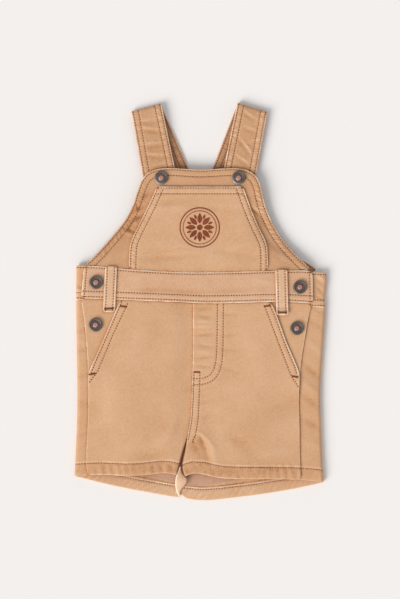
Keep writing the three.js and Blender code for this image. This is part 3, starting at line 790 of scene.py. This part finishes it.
BACK_HEM_Y = -207
BACK_HEM_RISE = 0.17  # how much higher the back hem is for each millimetre from the middle
BACK_HEM_WIDTH = 13


def back_hem_bottom(x):
    """About where the lower edge of the back hem is."""
    return BACK_HEM_Y + BACK_HEM_RISE * abs(x)


def hem_ripple(x, y):
    """The upright puckers of the front hems, between their stitches and their lower edge."""
    within = smooth_share(-y, 168, 172)
    wave = np.cos(2 * math.pi * (x / 8.6 + 0.5 * wander(x, 23, 31) + 0.03 * (y + 176)))
    return 0.28 * within * wave * (0.6 + 0.4 * wander(x, 31, 32))


def back_hem_ripple(x, y):
    """The slanting puckers of the back hem, which lift it a little from the surface."""
    within = smooth_share(back_hem_bottom(x) + 15 - y, 0, 3)
    wave = 0.5 + 0.5 * np.cos(2 * math.pi * ((x - 0.6 * y) / 7.4 + 0.5 * wander(x, 19, 41)))
    return 0.6 * within * wave * (0.6 + 0.4 * wander(x, 27, 42))


def finished(obj):
    """Applies an object's modifiers, so that its mesh is the finished one."""
    made = bpy.data.meshes.new_from_object(obj.evaluated_get(bpy.context.evaluated_depsgraph_get()))
    obj.modifiers.clear()
    obj.data = made
    return obj


def new_piece(name, shape, *materials):
    """A new object at the origin that holds a bmesh."""
    mesh = bpy.data.meshes.new(name)
    shape.to_mesh(mesh)
    shape.free()
    return placed_mesh(name, mesh, *materials)


def placed_mesh(name, mesh, *materials):
    obj = bpy.data.objects.new(name, mesh)
    bpy.context.scene.collection.objects.link(obj)
    for material in materials:
        mesh.materials.append(material)
    mesh.shade_smooth()
    return obj


EDGE_CREASE = 0.48  # keeps a cloth edge firm for two of three subdivisions, so it ends barely rounded


def subdivided(name, level):
    """A fine shell on a node's form, its edges barely rounded."""
    wall = merged(name)
    weight = wall.edges.layers.float.new("crease_edge")
    for _, ring in rings_of(wall):
        for edge in ring:
            edge[weight] = EDGE_CREASE
    obj = new_piece("cloth_" + name, wall)
    modifier = obj.modifiers.new("fine", "SUBSURF")
    modifier.levels = modifier.render_levels = level
    return finished(obj)


def tree_of(obj):
    return BVHTree.FromObject(obj, bpy.context.evaluated_depsgraph_get())


def read_places(mesh):
    places = np.empty(len(mesh.vertices) * 3, np.float32)
    mesh.vertices.foreach_get("co", places)
    facing = np.empty(len(mesh.vertices) * 3, np.float32)
    mesh.vertex_normals.foreach_get("vector", facing)
    return places.reshape(-1, 3).astype(float) / MM, facing.reshape(-1, 3).astype(float)


FOLD_LEVEL = 3.8  # height of the middle of the folds; below it a wrapped piece's inside faces up


def shows_reverse(face):
    """Whether a face of a wrapped piece is on its inside, which faces up below the folds and down above."""
    return (face.normal.z > 0) == (face.center.z < FOLD_LEVEL * MM)


def on_back_hem(name, place):
    """Whether a place is on the back hem, which is turned up and so shows the face of the cloth."""
    return name in ("back_left", "back_right") and place.y < back_hem_bottom(place.x) + BACK_HEM_WIDTH


def tailored(name, seed):
    """One piece of cloth: a shell on its solid's form, with its folds, seams, wear and painted light and
    shade.
    """
    cloth = CLOTHS[name]
    obj = subdivided(name, cloth.level)
    places, facing = read_places(obj.data)
    tree = tree_of(obj)
    seams = SEAMS[name]()
    move, wear_and_painted_light = seam_relief(places, facing, tree, seams, seed)
    # Painted shadow beside the edges of the pieces that lie over this one.
    wear_and_painted_light -= NEIGHBOUR_PAINTED_SHADOW * painted_shadow_of_neighbours(name, places, facing)
    moved = places + facing * move[:, None]
    lift = sway(name, places)
    moved[:, 2] = np.maximum(moved[:, 2] + lift, 0)
    # Painted highlight on crease tops and painted shade in their troughs, on faces that look up; the tone
    # also carries painted shade on the low parts of straps.
    wear_and_painted_light += tone_and_painted_shade(name, places) + LIFT_PAINTED_LIGHT * np.clip(lift, -1, 1) * (facing[:, 2] > 0.3)
    obj.data.vertices.foreach_set("co", (moved * MM).astype(np.float32).ravel())
    attribute = obj.data.attributes.new("wear_and_painted_light", "FLOAT", "POINT")
    attribute.data.foreach_set("value", wear_and_painted_light.astype(np.float32))
    obj.data.materials.append(TWILLS[cloth.finish])
    if name in WRAPPED:
        # Straps take the darker inside finish, the cloth's reverse whose colours carry painted shade.
        obj.data.materials.append(TWILLS["inside" if name.startswith("strap") else "reverse"])
        for face in obj.data.polygons:
            face.material_index = int(shows_reverse(face) and not on_back_hem(name, face.center / MM))
    obj.data.shade_smooth()
    obj.data.update()
    return obj, seams


# Stitches.
def stitch_form():
    """One stitch lying along X: a thread that comes out of the cloth and goes back into it."""
    form = bmesh.new()
    bmesh.ops.create_uvsphere(form, u_segments=6, v_segments=4, radius=0.5)
    bmesh.ops.rotate(form, verts=form.verts, matrix=Matrix.Rotation(math.pi / 2, 3, "Y"))
    bmesh.ops.scale(form, verts=form.verts, vec=(STITCH_LENGTH, STITCH_WIDTH, STITCH_HEIGHT))
    mesh = bpy.data.meshes.new("stitch_form")
    form.to_mesh(mesh)
    form.free()
    return mesh


def repeated(name, form, frames, *materials):
    """One mesh of a form repeated at each of many frames, which are 4 by 4 arrays in millimetres."""
    form_places = np.array([vert.co for vert in form.vertices])
    loops = [np.array(face.vertices) for face in form.polygons]
    sizes = np.array([len(loop) for loop in loops])
    corners = np.concatenate(loops)
    count = len(frames)
    frames = np.array(frames)
    places = np.einsum("nij,vj->nvi", frames[:, :3, :3], form_places) + frames[:, None, :3, 3]
    mesh = bpy.data.meshes.new(name)
    mesh.vertices.add(count * len(form_places))
    mesh.vertices.foreach_set("co", (places * MM).astype(np.float32).ravel())
    mesh.loops.add(count * len(corners))
    offsets = np.repeat(np.arange(count) * len(form_places), len(corners))
    mesh.loops.foreach_set("vertex_index", np.tile(corners, count) + offsets)
    mesh.polygons.add(count * len(sizes))
    starts = np.concatenate(([0], np.cumsum(np.tile(sizes, count))[:-1]))
    mesh.polygons.foreach_set("loop_start", starts)
    mesh.update(calc_edges=True)
    mesh.validate()
    return placed_mesh(name, mesh, *materials)


def frame_at(place, along, up, stretch=(1, 1, 1)):
    """A frame at a place with X along the thread and Z out of the cloth."""
    up = up / np.linalg.norm(up)
    across = np.cross(up, along)
    across /= np.linalg.norm(across)
    along = np.cross(across, up)
    matrix = np.eye(4)
    matrix[:3, :3] = np.column_stack((along * stretch[0], across * stretch[1], up * stretch[2]))
    matrix[:3, 3] = place
    return matrix


def stitch_frames(path, facing, seed):
    """The frames of the stitches along a path, each a little off its place."""
    run = np.concatenate(([0], np.cumsum(np.linalg.norm(np.diff(path, axis=0), axis=1))))
    count = max(int(run[-1] / STITCH_PITCH), 1)
    jitter = np.random.default_rng(seed).normal(0, 1, (count, 3))
    frames = []
    for k in range(count):
        place = (k + 0.5) * run[-1] / count + 0.07 * jitter[k, 0]
        point = [np.interp(place, run, path[:, axis]) for axis in range(3)]
        ahead = [np.interp(place + 0.8, run, path[:, axis]) for axis in range(3)]
        behind = [np.interp(place - 0.8, run, path[:, axis]) for axis in range(3)]
        along = np.array(ahead) - np.array(behind)
        up = np.array([np.interp(place, run, facing[:, axis]) for axis in range(3)])
        if np.linalg.norm(along) < 1e-6:
            continue
        turn = 0.05 * jitter[k, 1]
        along = along / np.linalg.norm(along) + turn * np.cross(up, along / np.linalg.norm(along))
        size = 1 + 0.05 * jitter[k, 2]
        frames.append(frame_at(np.array(point) - up * STITCH_SINK, along, up, (size, 1, 1)))
    return frames


def stitched(name, obj, seams, form, seed):
    """All the rows of stitches of one piece, as one mesh."""
    tree = tree_of(obj)
    frames = []
    for number, seam in enumerate(seams):
        for row, inset in enumerate(seam.rows):
            path, facing = snapped(tree, seam.edge.points + seam.edge.inward * inset)
            frames += stitch_frames(path, facing, seed + 7 * number + row)
    for tack in TACKS.get(name, ()):
        frames += tack_frames(tree, *tack)
    return repeated("stitches_" + name, form, frames, THREAD) if frames else None


# Bar tacks: a middle in plan, a direction and a length, in dense short stitches.
TACK_STEP = 0.62
TACK_STRETCH = (1.3, 0.7, 1.7)  # the size of a tack's stitches beside the others
TACKS = {
    "front_left": ((-80.5, -4.8, -8, 8), (-113.6, -75.6, 12, 7)),
    "front_right": ((70.4, -4.2, 8, 8), (99.2, -78.4, -10, 7), (-3.7, -73.5, 0, 6.5)),
    "belt_loop_left": ((-95.8, -7, 4, 10),),
    "belt_loop_right": ((85.8, -11, 0, 10),),
}


def tack_frames(tree, x, y, turn, length):
    """The short stitches of a bar tack, each across its length."""
    way = np.array([math.cos(math.radians(turn)), math.sin(math.radians(turn)), 0])
    across = np.array([-way[1], way[0], 0])
    frames = []
    for k in range(int(length / TACK_STEP)):
        spot = np.array([x, y, 0]) + way * ((k + 0.5) * TACK_STEP - length / 2)
        hit, facing, _, _ = tree.ray_cast(Vector((*spot[:2] * MM, 0.1)), Vector((0, 0, -1)))
        if hit is None:
            continue
        slant = across + way * (0.25 if k % 2 else -0.25)
        frames.append(frame_at(np.array(hit) / MM, slant, np.array(facing), TACK_STRETCH))
    return frames


# Materials.
def linear(hex_colour):
    """An sRGB colour in hex as the linear colour that a shader takes."""
    parts = [int(hex_colour[i : i + 2], 16) / 255 for i in (1, 3, 5)]
    return [c / 12.92 if c <= 0.04045 else ((c + 0.055) / 1.055) ** 2.4 for c in parts] + [1]


def node(tree, kind, inputs, output=0, stops=(), **settings):
    """Adds a node with its settings and links, and gives back one of its outputs. An input is a value,
    or the output that feeds it; the stops of a colour ramp are places and hex colours."""
    made = tree.nodes.new(kind)
    for name, value in settings.items():
        setattr(made, name, value)
    for socket, value in inputs.items():
        if isinstance(value, bpy.types.NodeSocket):
            tree.links.new(value, made.inputs[socket])
        else:
            made.inputs[socket].default_value = value
    for number, (place, colour) in enumerate(stops):
        elements = made.color_ramp.elements
        element = elements[number] if number < 2 else elements.new(place)
        element.position = place
        element.color = linear(colour)
    return made.outputs[output] if made.outputs else None


def blank_material(name):
    """A new material, its empty tree and the place of each point of the piece."""
    material = bpy.data.materials.new(name)
    material.use_nodes = True
    tree = material.node_tree
    tree.nodes.clear()
    return material, tree, node(tree, "ShaderNodeTexCoord", {}, output="Object")


def features(place, size, detail, roughness=0.55):
    """The inputs of a noise with features of about a size in millimetres."""
    return {"Vector": place, "Scale": 1 / (size * MM), "Detail": detail, "Roughness": roughness}


TWILL_RIB = 0.9  # spacing of the diagonal ribs; the real ones are 0.6 apart, drawn coarser to show
TWILL_TURN = math.radians(27)
MOTTLE = (0.16, 0.26, 0.3)  # how strongly the wash, the flecks and the grain vary the dye
WAVE_PERIOD = 0.314  # length of one band of a wave texture of scale 1


def washed_twill(name, seam, face, worn):
    """Garment-dyed cotton twill: dyed as a finished garment and washed, so it is mottled, darker along
    the seams where the dye collects, and paler on edges and ridges where it has rubbed off. The attribute
    that it reads also carries painted shadow beside overlying edges and in folds, and painted highlight on
    crease tops."""
    material, tree, place = blank_material(name)
    wear_and_painted_light = node(tree, "ShaderNodeAttribute", {}, output="Fac", attribute_name="wear_and_painted_light")
    wash = node(tree, "ShaderNodeTexNoise", features(place, 34, 3.0))
    patch = node(tree, "ShaderNodeTexNoise", features(place, 6.5, 2.0))
    fleck = node(tree, "ShaderNodeTexNoise", features(place, 2.6, 3.0, 0.65))
    grain = node(tree, "ShaderNodeTexNoise", features(place, 1.3, 2.0, 0.6))
    tone = 0.5 - sum(MOTTLE) / 2
    for part, amount in zip((wash, fleck, grain), MOTTLE):
        tone = node(tree, "ShaderNodeMath", {0: part, 1: amount, 2: tone}, operation="MULTIPLY_ADD")
    rubbed_and_highlight = node(tree, "ShaderNodeMath", {0: patch, 1: 0.5, 2: 0.2}, operation="MULTIPLY_ADD")
    tone = node(tree, "ShaderNodeMath", {0: wear_and_painted_light, 1: rubbed_and_highlight, 2: tone}, operation="MULTIPLY_ADD")
    # The palest stop shows worn edges and painted highlight; the darkest shows seam grooves and painted
    # shadow.
    stops = ((0.1, seam), (0.34, face[0]), (0.5, face[1]), (0.64, face[2]), (0.95, worn))
    colour = node(tree, "ShaderNodeValToRGB", {"Fac": tone}, stops=stops)
    turned = node(tree, "ShaderNodeMapping", {"Vector": place, "Rotation": (0, 0, TWILL_TURN)})
    bands = {"Vector": turned, "Scale": WAVE_PERIOD / (TWILL_RIB * MM), "Distortion": 0.6, "Detail": 1.0}
    ribs = node(tree, "ShaderNodeTexWave", bands, output="Fac", bands_direction="X")
    nap = node(tree, "ShaderNodeTexNoise", features(place, 0.7, 2.0, 0.6))
    height = node(tree, "ShaderNodeMath", {0: nap, 1: 0.7, 2: ribs}, operation="MULTIPLY_ADD")
    height = node(tree, "ShaderNodeMath", {0: fleck, 1: 0.9, 2: height}, operation="MULTIPLY_ADD")
    bump = node(tree, "ShaderNodeBump", {"Height": height, "Strength": 0.6, "Distance": 0.00014})
    cotton = {
        "Base Color": colour,
        "Roughness": 0.9,
        "Specular IOR Level": 0.25,
        "Sheen Weight": 0.12,
        "Sheen Roughness": 0.5,
        "Normal": bump,
    }
    shader = node(tree, "ShaderNodeBsdfPrincipled", cotton)
    node(tree, "ShaderNodeOutputMaterial", {"Surface": shader})
    return material


def spun_thread(name, dark, light, roughness):
    """Spun polyester sewing thread: two plies twisted together, so it has a soft gloss and a fine
    slanting twist, drawn here as pale and dark flecks along the stitch."""
    material, tree, place = blank_material(name)
    fleck = node(tree, "ShaderNodeTexNoise", features(place, 0.9, 2.0, 0.6))
    drift = node(tree, "ShaderNodeTexNoise", features(place, 24, 1.0))
    half = node(tree, "ShaderNodeMath", {0: fleck, 1: 0.5}, operation="MULTIPLY")
    tone = node(tree, "ShaderNodeMath", {0: drift, 1: 0.5, 2: half}, operation="MULTIPLY_ADD")
    colour = node(tree, "ShaderNodeValToRGB", {"Fac": tone}, stops=((0.3, dark), (0.7, light)))
    bump = node(tree, "ShaderNodeBump", {"Height": fleck, "Strength": 0.5, "Distance": 0.0002})
    thread = {"Base Color": colour, "Roughness": roughness, "Normal": bump}
    shader = node(tree, "ShaderNodeBsdfPrincipled", thread)
    node(tree, "ShaderNodeOutputMaterial", {"Surface": shader})
    return material


def plated_metal(name, dark, light, roughness):
    """Antiqued plating on pressed brass: darkened in the hollows and rubbed bright on what stands out, with
    a painted highlight on one side of the bib's snaps.
    """
    material, tree, place = blank_material(name)
    rubbed_and_highlight = node(tree, "ShaderNodeAttribute", {}, output="Fac", attribute_name="rubbed_and_highlight")
    stain = node(tree, "ShaderNodeTexNoise", features(place, 1.4, 3.0, 0.6))
    level = node(tree, "ShaderNodeMath", {0: rubbed_and_highlight, 1: 0.3}, operation="SUBTRACT")
    tone = node(tree, "ShaderNodeMath", {0: stain, 1: 0.6, 2: level}, operation="MULTIPLY_ADD")
    colour = node(tree, "ShaderNodeValToRGB", {"Fac": tone}, stops=((0.1, dark), (0.9, light)))
    bump = node(tree, "ShaderNodeBump", {"Height": stain, "Strength": 0.3, "Distance": 0.0001})
    plate = {"Base Color": colour, "Metallic": 0.85, "Roughness": roughness, "Normal": bump}
    shader = node(tree, "ShaderNodeBsdfPrincipled", plate)
    node(tree, "ShaderNodeOutputMaterial", {"Surface": shader})
    return material


def matt_paper(name, colour):
    """A matt paper sweep: plain, pale and without gloss."""
    material, tree, _ = blank_material(name)
    paper = {"Base Color": linear(colour), "Roughness": 1.0, "Specular IOR Level": 0.0}
    shader = node(tree, "ShaderNodeBsdfPrincipled", paper)
    node(tree, "ShaderNodeOutputMaterial", {"Surface": shader})
    return material


TWILLS = {
    "face": washed_twill("twill_face", "#a2663a", ("#cf9c72", "#d9aa82", "#e0b48e"), "#f8e4cc"),
    "bib": washed_twill("twill_bib", "#98602f", ("#c6926a", "#d09f77", "#d9ab84"), "#f8e2c8"),
    "band": washed_twill("twill_band", "#a2663a", ("#d09e75", "#dbad8a", "#e2b894"), "#fae8d2"),
    "strap": washed_twill("twill_strap", "#925a2b", ("#c08c60", "#cf9f77", "#dcae88"), "#f8e4ce"),
    "reverse": washed_twill("twill_reverse", "#94603f", ("#c18f70", "#cda083", "#d7ad92"), "#eed2ba"),
    # The reverse of the cloth for the straps' insides and the back bib, drawn darker as painted shade.
    "inside": washed_twill("twill_inside_painted_shade", "#8a5833", ("#b58560", "#c49672", "#cda17e"), "#e6c8a8"),
}
THREAD = spun_thread("thread_sewing", "#5a240a", "#9c4e1e", 0.6)
EMBROIDERY = spun_thread("thread_embroidery", "#762c0e", "#ad5424", 0.42)
GUNMETAL = plated_metal("gunmetal_plate", "#463c38", "#9e948e", 0.45)
COPPER = plated_metal("copper_stud", "#8d6252", "#dba892", 0.7)


# Snap caps.
CAP_STEPS = 40
CAP_RADIUS = 7.1
BEAD_COUNT = 22
BEAD_RADIUS = 0.52
BEAD_RING = 4.15
BEAD_LEVEL = 2.2
BEAD_RUBBED = 0.6
STUD_FROM = 1  # a height between the cap's back and its stud
# A cap's section from its back round the rim to the stud: radius, height and how rubbed it is.
CAP_SECTION = (
    (5.3, 0.05, 0.0),
    (5.5, 0.6, 0.0),
    (6.6, 0.95, 0.1),
    (7.05, 1.35, 0.2),
    (7.1, 1.8, 0.35),
    (6.85, 2.3, 0.45),
    (6.35, 2.6, 0.5),
    (5.8, 2.58, 0.42),
    (5.35, 2.36, 0.25),
    (4.9, 2.22, 0.25),
    (3.3, 2.22, 0.3),
    (2.9, 2.3, 0.3),
    (2.6, 2.5, 0.4),
)
STUD_SECTION = ((2.6, 2.45, 0.4), (2.3, 2.8, 0.65), (1.6, 2.93, 0.7), (0.8, 2.88, 0.55), (0.0, 2.85, 0.5))
HIGHLIGHT_SIDE = (-0.6, -0.8)  # the way, towards the key light, in which the bib's snaps carry a painted highlight
HIGHLIGHT_AMOUNT = 0.55


def lathe(shape, section, steps):
    """Spins a section of (radius, height, rubbed) round the Z axis, in millimetres."""
    rubbed_and_highlight = shape.verts.layers.float.get("rubbed_and_highlight") or shape.verts.layers.float.new("rubbed_and_highlight")
    verts = []
    for radius, height, worn in section:
        vert = shape.verts.new((radius, 0, height))
        vert[rubbed_and_highlight] = worn
        verts.append(vert)
    edges = [shape.edges.new(pair) for pair in zip(verts, verts[1:])]
    bmesh.ops.spin(
        shape,
        geom=verts + edges,
        cent=(0, 0, 0),
        axis=(0, 0, 1),
        dvec=(0, 0, 0),
        angle=2 * math.pi,
        steps=steps,
        use_merge=True,
        use_duplicate=False,
    )


def snap_cap(name):
    """A pressed snap cap: a rolled rim, a sunk ring of beads and a copper stud."""
    low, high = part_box(name)
    shape = bmesh.new()
    lathe(shape, CAP_SECTION, CAP_STEPS)
    rubbed_and_highlight = shape.verts.layers.float["rubbed_and_highlight"]
    # A painted highlight on the bib's snaps, on the side towards the key light.
    painted_highlight = HIGHLIGHT_AMOUNT if "bib" in name else 0
    for vert in shape.verts:
        vert[rubbed_and_highlight] += painted_highlight * max(vert.co.xy.dot(Vector(HIGHLIGHT_SIDE)) / CAP_RADIUS, 0)
    for k in range(BEAD_COUNT):
        angle = 2 * math.pi * k / BEAD_COUNT
        place = (BEAD_RING * math.cos(angle), BEAD_RING * math.sin(angle), BEAD_LEVEL)
        made = bmesh.ops.create_uvsphere(
            shape, u_segments=8, v_segments=6, radius=BEAD_RADIUS, matrix=Matrix.Translation(place)
        )
        for vert in made["verts"]:
            vert[rubbed_and_highlight] = BEAD_RUBBED
    bead_faces = len(shape.faces)
    lathe(shape, STUD_SECTION, CAP_STEPS)
    radius, height, _ = CAP_SECTION[0]
    back = bmesh.ops.create_circle(shape, cap_ends=True, radius=radius, segments=CAP_STEPS)
    bmesh.ops.translate(shape, verts=back["verts"], vec=(0, 0, height))
    shape.faces.ensure_lookup_table()
    for face in shape.faces[bead_faces:]:
        face.material_index = int(face.calc_center_median().z > STUD_FROM)
    bmesh.ops.remove_doubles(shape, verts=shape.verts, dist=0.02)
    bmesh.ops.recalc_face_normals(shape, faces=shape.faces)
    bmesh.ops.scale(shape, verts=shape.verts, vec=(MM, MM, MM))
    middle = (low + high) / 2
    bmesh.ops.translate(shape, verts=shape.verts, vec=(middle.x, middle.y, low.z))
    obj = new_piece("snap_" + name.removeprefix("button_"), shape, GUNMETAL, COPPER)
    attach(obj, "root")
    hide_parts(name)
    return obj


# The embroidered badge: a rope ring round an eight-leaved rosette.
BADGE_CENTRE = (-0.8, 78.1)
BADGE_RADIUS = 20.6
BADGE_LEAVES = 8
BADGE_RINGS = ((BADGE_RADIUS, 1.7), (BADGE_RADIUS - 3.2, 1.0))  # radius and width
RING_PITCH = 0.62
LEAF_PITCH = 0.55
LEAF_THREAD = 0.75  # width of the thread in the rings and leaves


def badge(cloth, form):
    """Satin stitches laid side by side, in a ring, long leaves and short ones between them."""
    tree = tree_of(cloth)
    centre = np.array([*BADGE_CENTRE, 0])
    frames = []

    def lay(radius, angle, turn, length, width, height=1.0):
        way = np.array([math.cos(angle), math.sin(angle), 0])
        spot = centre + way * radius
        hit, facing, _, _ = tree.ray_cast(Vector((*spot[:2] * MM, 0.1)), Vector((0, 0, -1)))
        along = np.array([math.cos(angle + turn), math.sin(angle + turn), 0])
        stretch = (length / STITCH_LENGTH, width / STITCH_WIDTH, height)
        frames.append(frame_at(np.array(hit) / MM, along, np.array(facing), stretch))

    for radius, width in BADGE_RINGS:
        count = int(2 * math.pi * radius / RING_PITCH)
        for k in range(count):
            lay(radius, 2 * math.pi * k / count, 0.5, width, LEAF_THREAD)
    for leaf in range(BADGE_LEAVES):
        middle = 2 * math.pi * leaf / BADGE_LEAVES
        leaf_stitches(lay, middle, 4.4, 15.4, 2.6)
        leaf_stitches(lay, middle + math.pi / BADGE_LEAVES, 9.6, 15.0, 1.3)
    for ring in range(4):
        radius = 0.4 + ring * 0.75
        count = max(int(2 * math.pi * radius / 0.7), 3)
        for k in range(count):
            lay(radius, 2 * math.pi * k / count, math.pi / 2, 1.0, 0.8, 1.2)
    return repeated("badge_embroidery", form, frames, EMBROIDERY)


def leaf_stitches(lay, middle, start, end, half):
    """One leaf of the rosette: slanting satin stitches, widest at a third of its length."""
    steps = int((end - start) / LEAF_PITCH)
    for k in range(steps):
        share = (k + 0.5) / steps
        radius = start + (end - start) * share
        reach = half * math.sin(math.pi * share**0.7)
        if reach < 0.35:
            continue
        for side in (-1, 1):
            angle = middle + side * math.atan2(reach / 2, radius)
            lay(radius, angle, side * 1.05, reach * 1.25, LEAF_THREAD)


# Building.
FLOOR_SIZE = 3.0
FLOOR_COLOUR = "#f4f0ed"
SUN_TURN = 222  # where the key light comes from, in degrees from +X: the lower left
SUN_HEIGHT = 36
SUN_SPREAD = 36
KEY_SHARE = 0.46  # share of the light on the floor that comes from the key light
KEY_COLOUR = (1.035, 1.0, 0.965)
FILL_COLOUR = (0.965, 1.0, 1.035)


def add_floor():
    shape = bmesh.new()
    bmesh.ops.create_grid(shape, x_segments=1, y_segments=1, size=FLOOR_SIZE / 2)
    floor = new_piece("floor", shape, matt_paper("matt_paper", FLOOR_COLOUR))


def add_lights():
    sun = bpy.data.lights.new("key", "SUN")
    sun.angle = math.radians(SUN_SPREAD)
    sun.energy = KEY_SHARE * math.pi / math.sin(math.radians(SUN_HEIGHT))
    sun.color = KEY_COLOUR
    key = bpy.data.objects.new("key", sun)
    bpy.context.scene.collection.objects.link(key)
    turn, height = math.radians(SUN_TURN), math.radians(SUN_HEIGHT)
    source = Vector((math.cos(turn) * math.cos(height), math.sin(turn) * math.cos(height), math.sin(height)))
    key.rotation_euler = source.to_track_quat("Z", "Y").to_euler()
    world = bpy.data.worlds.new("fill")
    world.use_nodes = True
    background = world.node_tree.nodes["Background"]
    background.inputs["Color"].default_value = (*FILL_COLOUR, 1)
    background.inputs["Strength"].default_value = 1 - KEY_SHARE
    bpy.context.scene.world = world
    bpy.context.scene.view_settings.view_transform = "Standard"


def add_camera():
    lens = bpy.data.cameras.new("view")
    lens.sensor_width = SENSOR
    lens.lens = SENSOR * (VIEW_HEIGHT - VIEW_LEVEL) / VIEW_FIELD
    camera = bpy.data.objects.new("view", lens)
    camera.location = (VIEW_CENTRE[0] * MM, VIEW_CENTRE[1] * MM, VIEW_HEIGHT * MM)
    bpy.context.scene.collection.objects.link(camera)
    bpy.context.scene.camera = camera


def add_cloth():
    form = stitch_form()
    pieces = {}
    for number, (name, cloth) in enumerate(CLOTHS.items()):
        seed = 100 * (number + 1)
        obj, seams = tailored(name, seed)
        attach(obj, "root")
        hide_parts(name)
        pieces[name] = obj
        thread = stitched(name, obj, seams, form, seed)
        if thread:
            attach(thread, "root")
        if name == "bib_pocket":
            embroidery = badge(obj, form)
            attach(embroidery, "root")
    bpy.data.meshes.remove(form)
    return pieces


add_camera()
add_lights()
add_floor()
add_cloth()
for button in sorted(name for name in NODES if name.startswith("button_")):
    snap_cap(button)
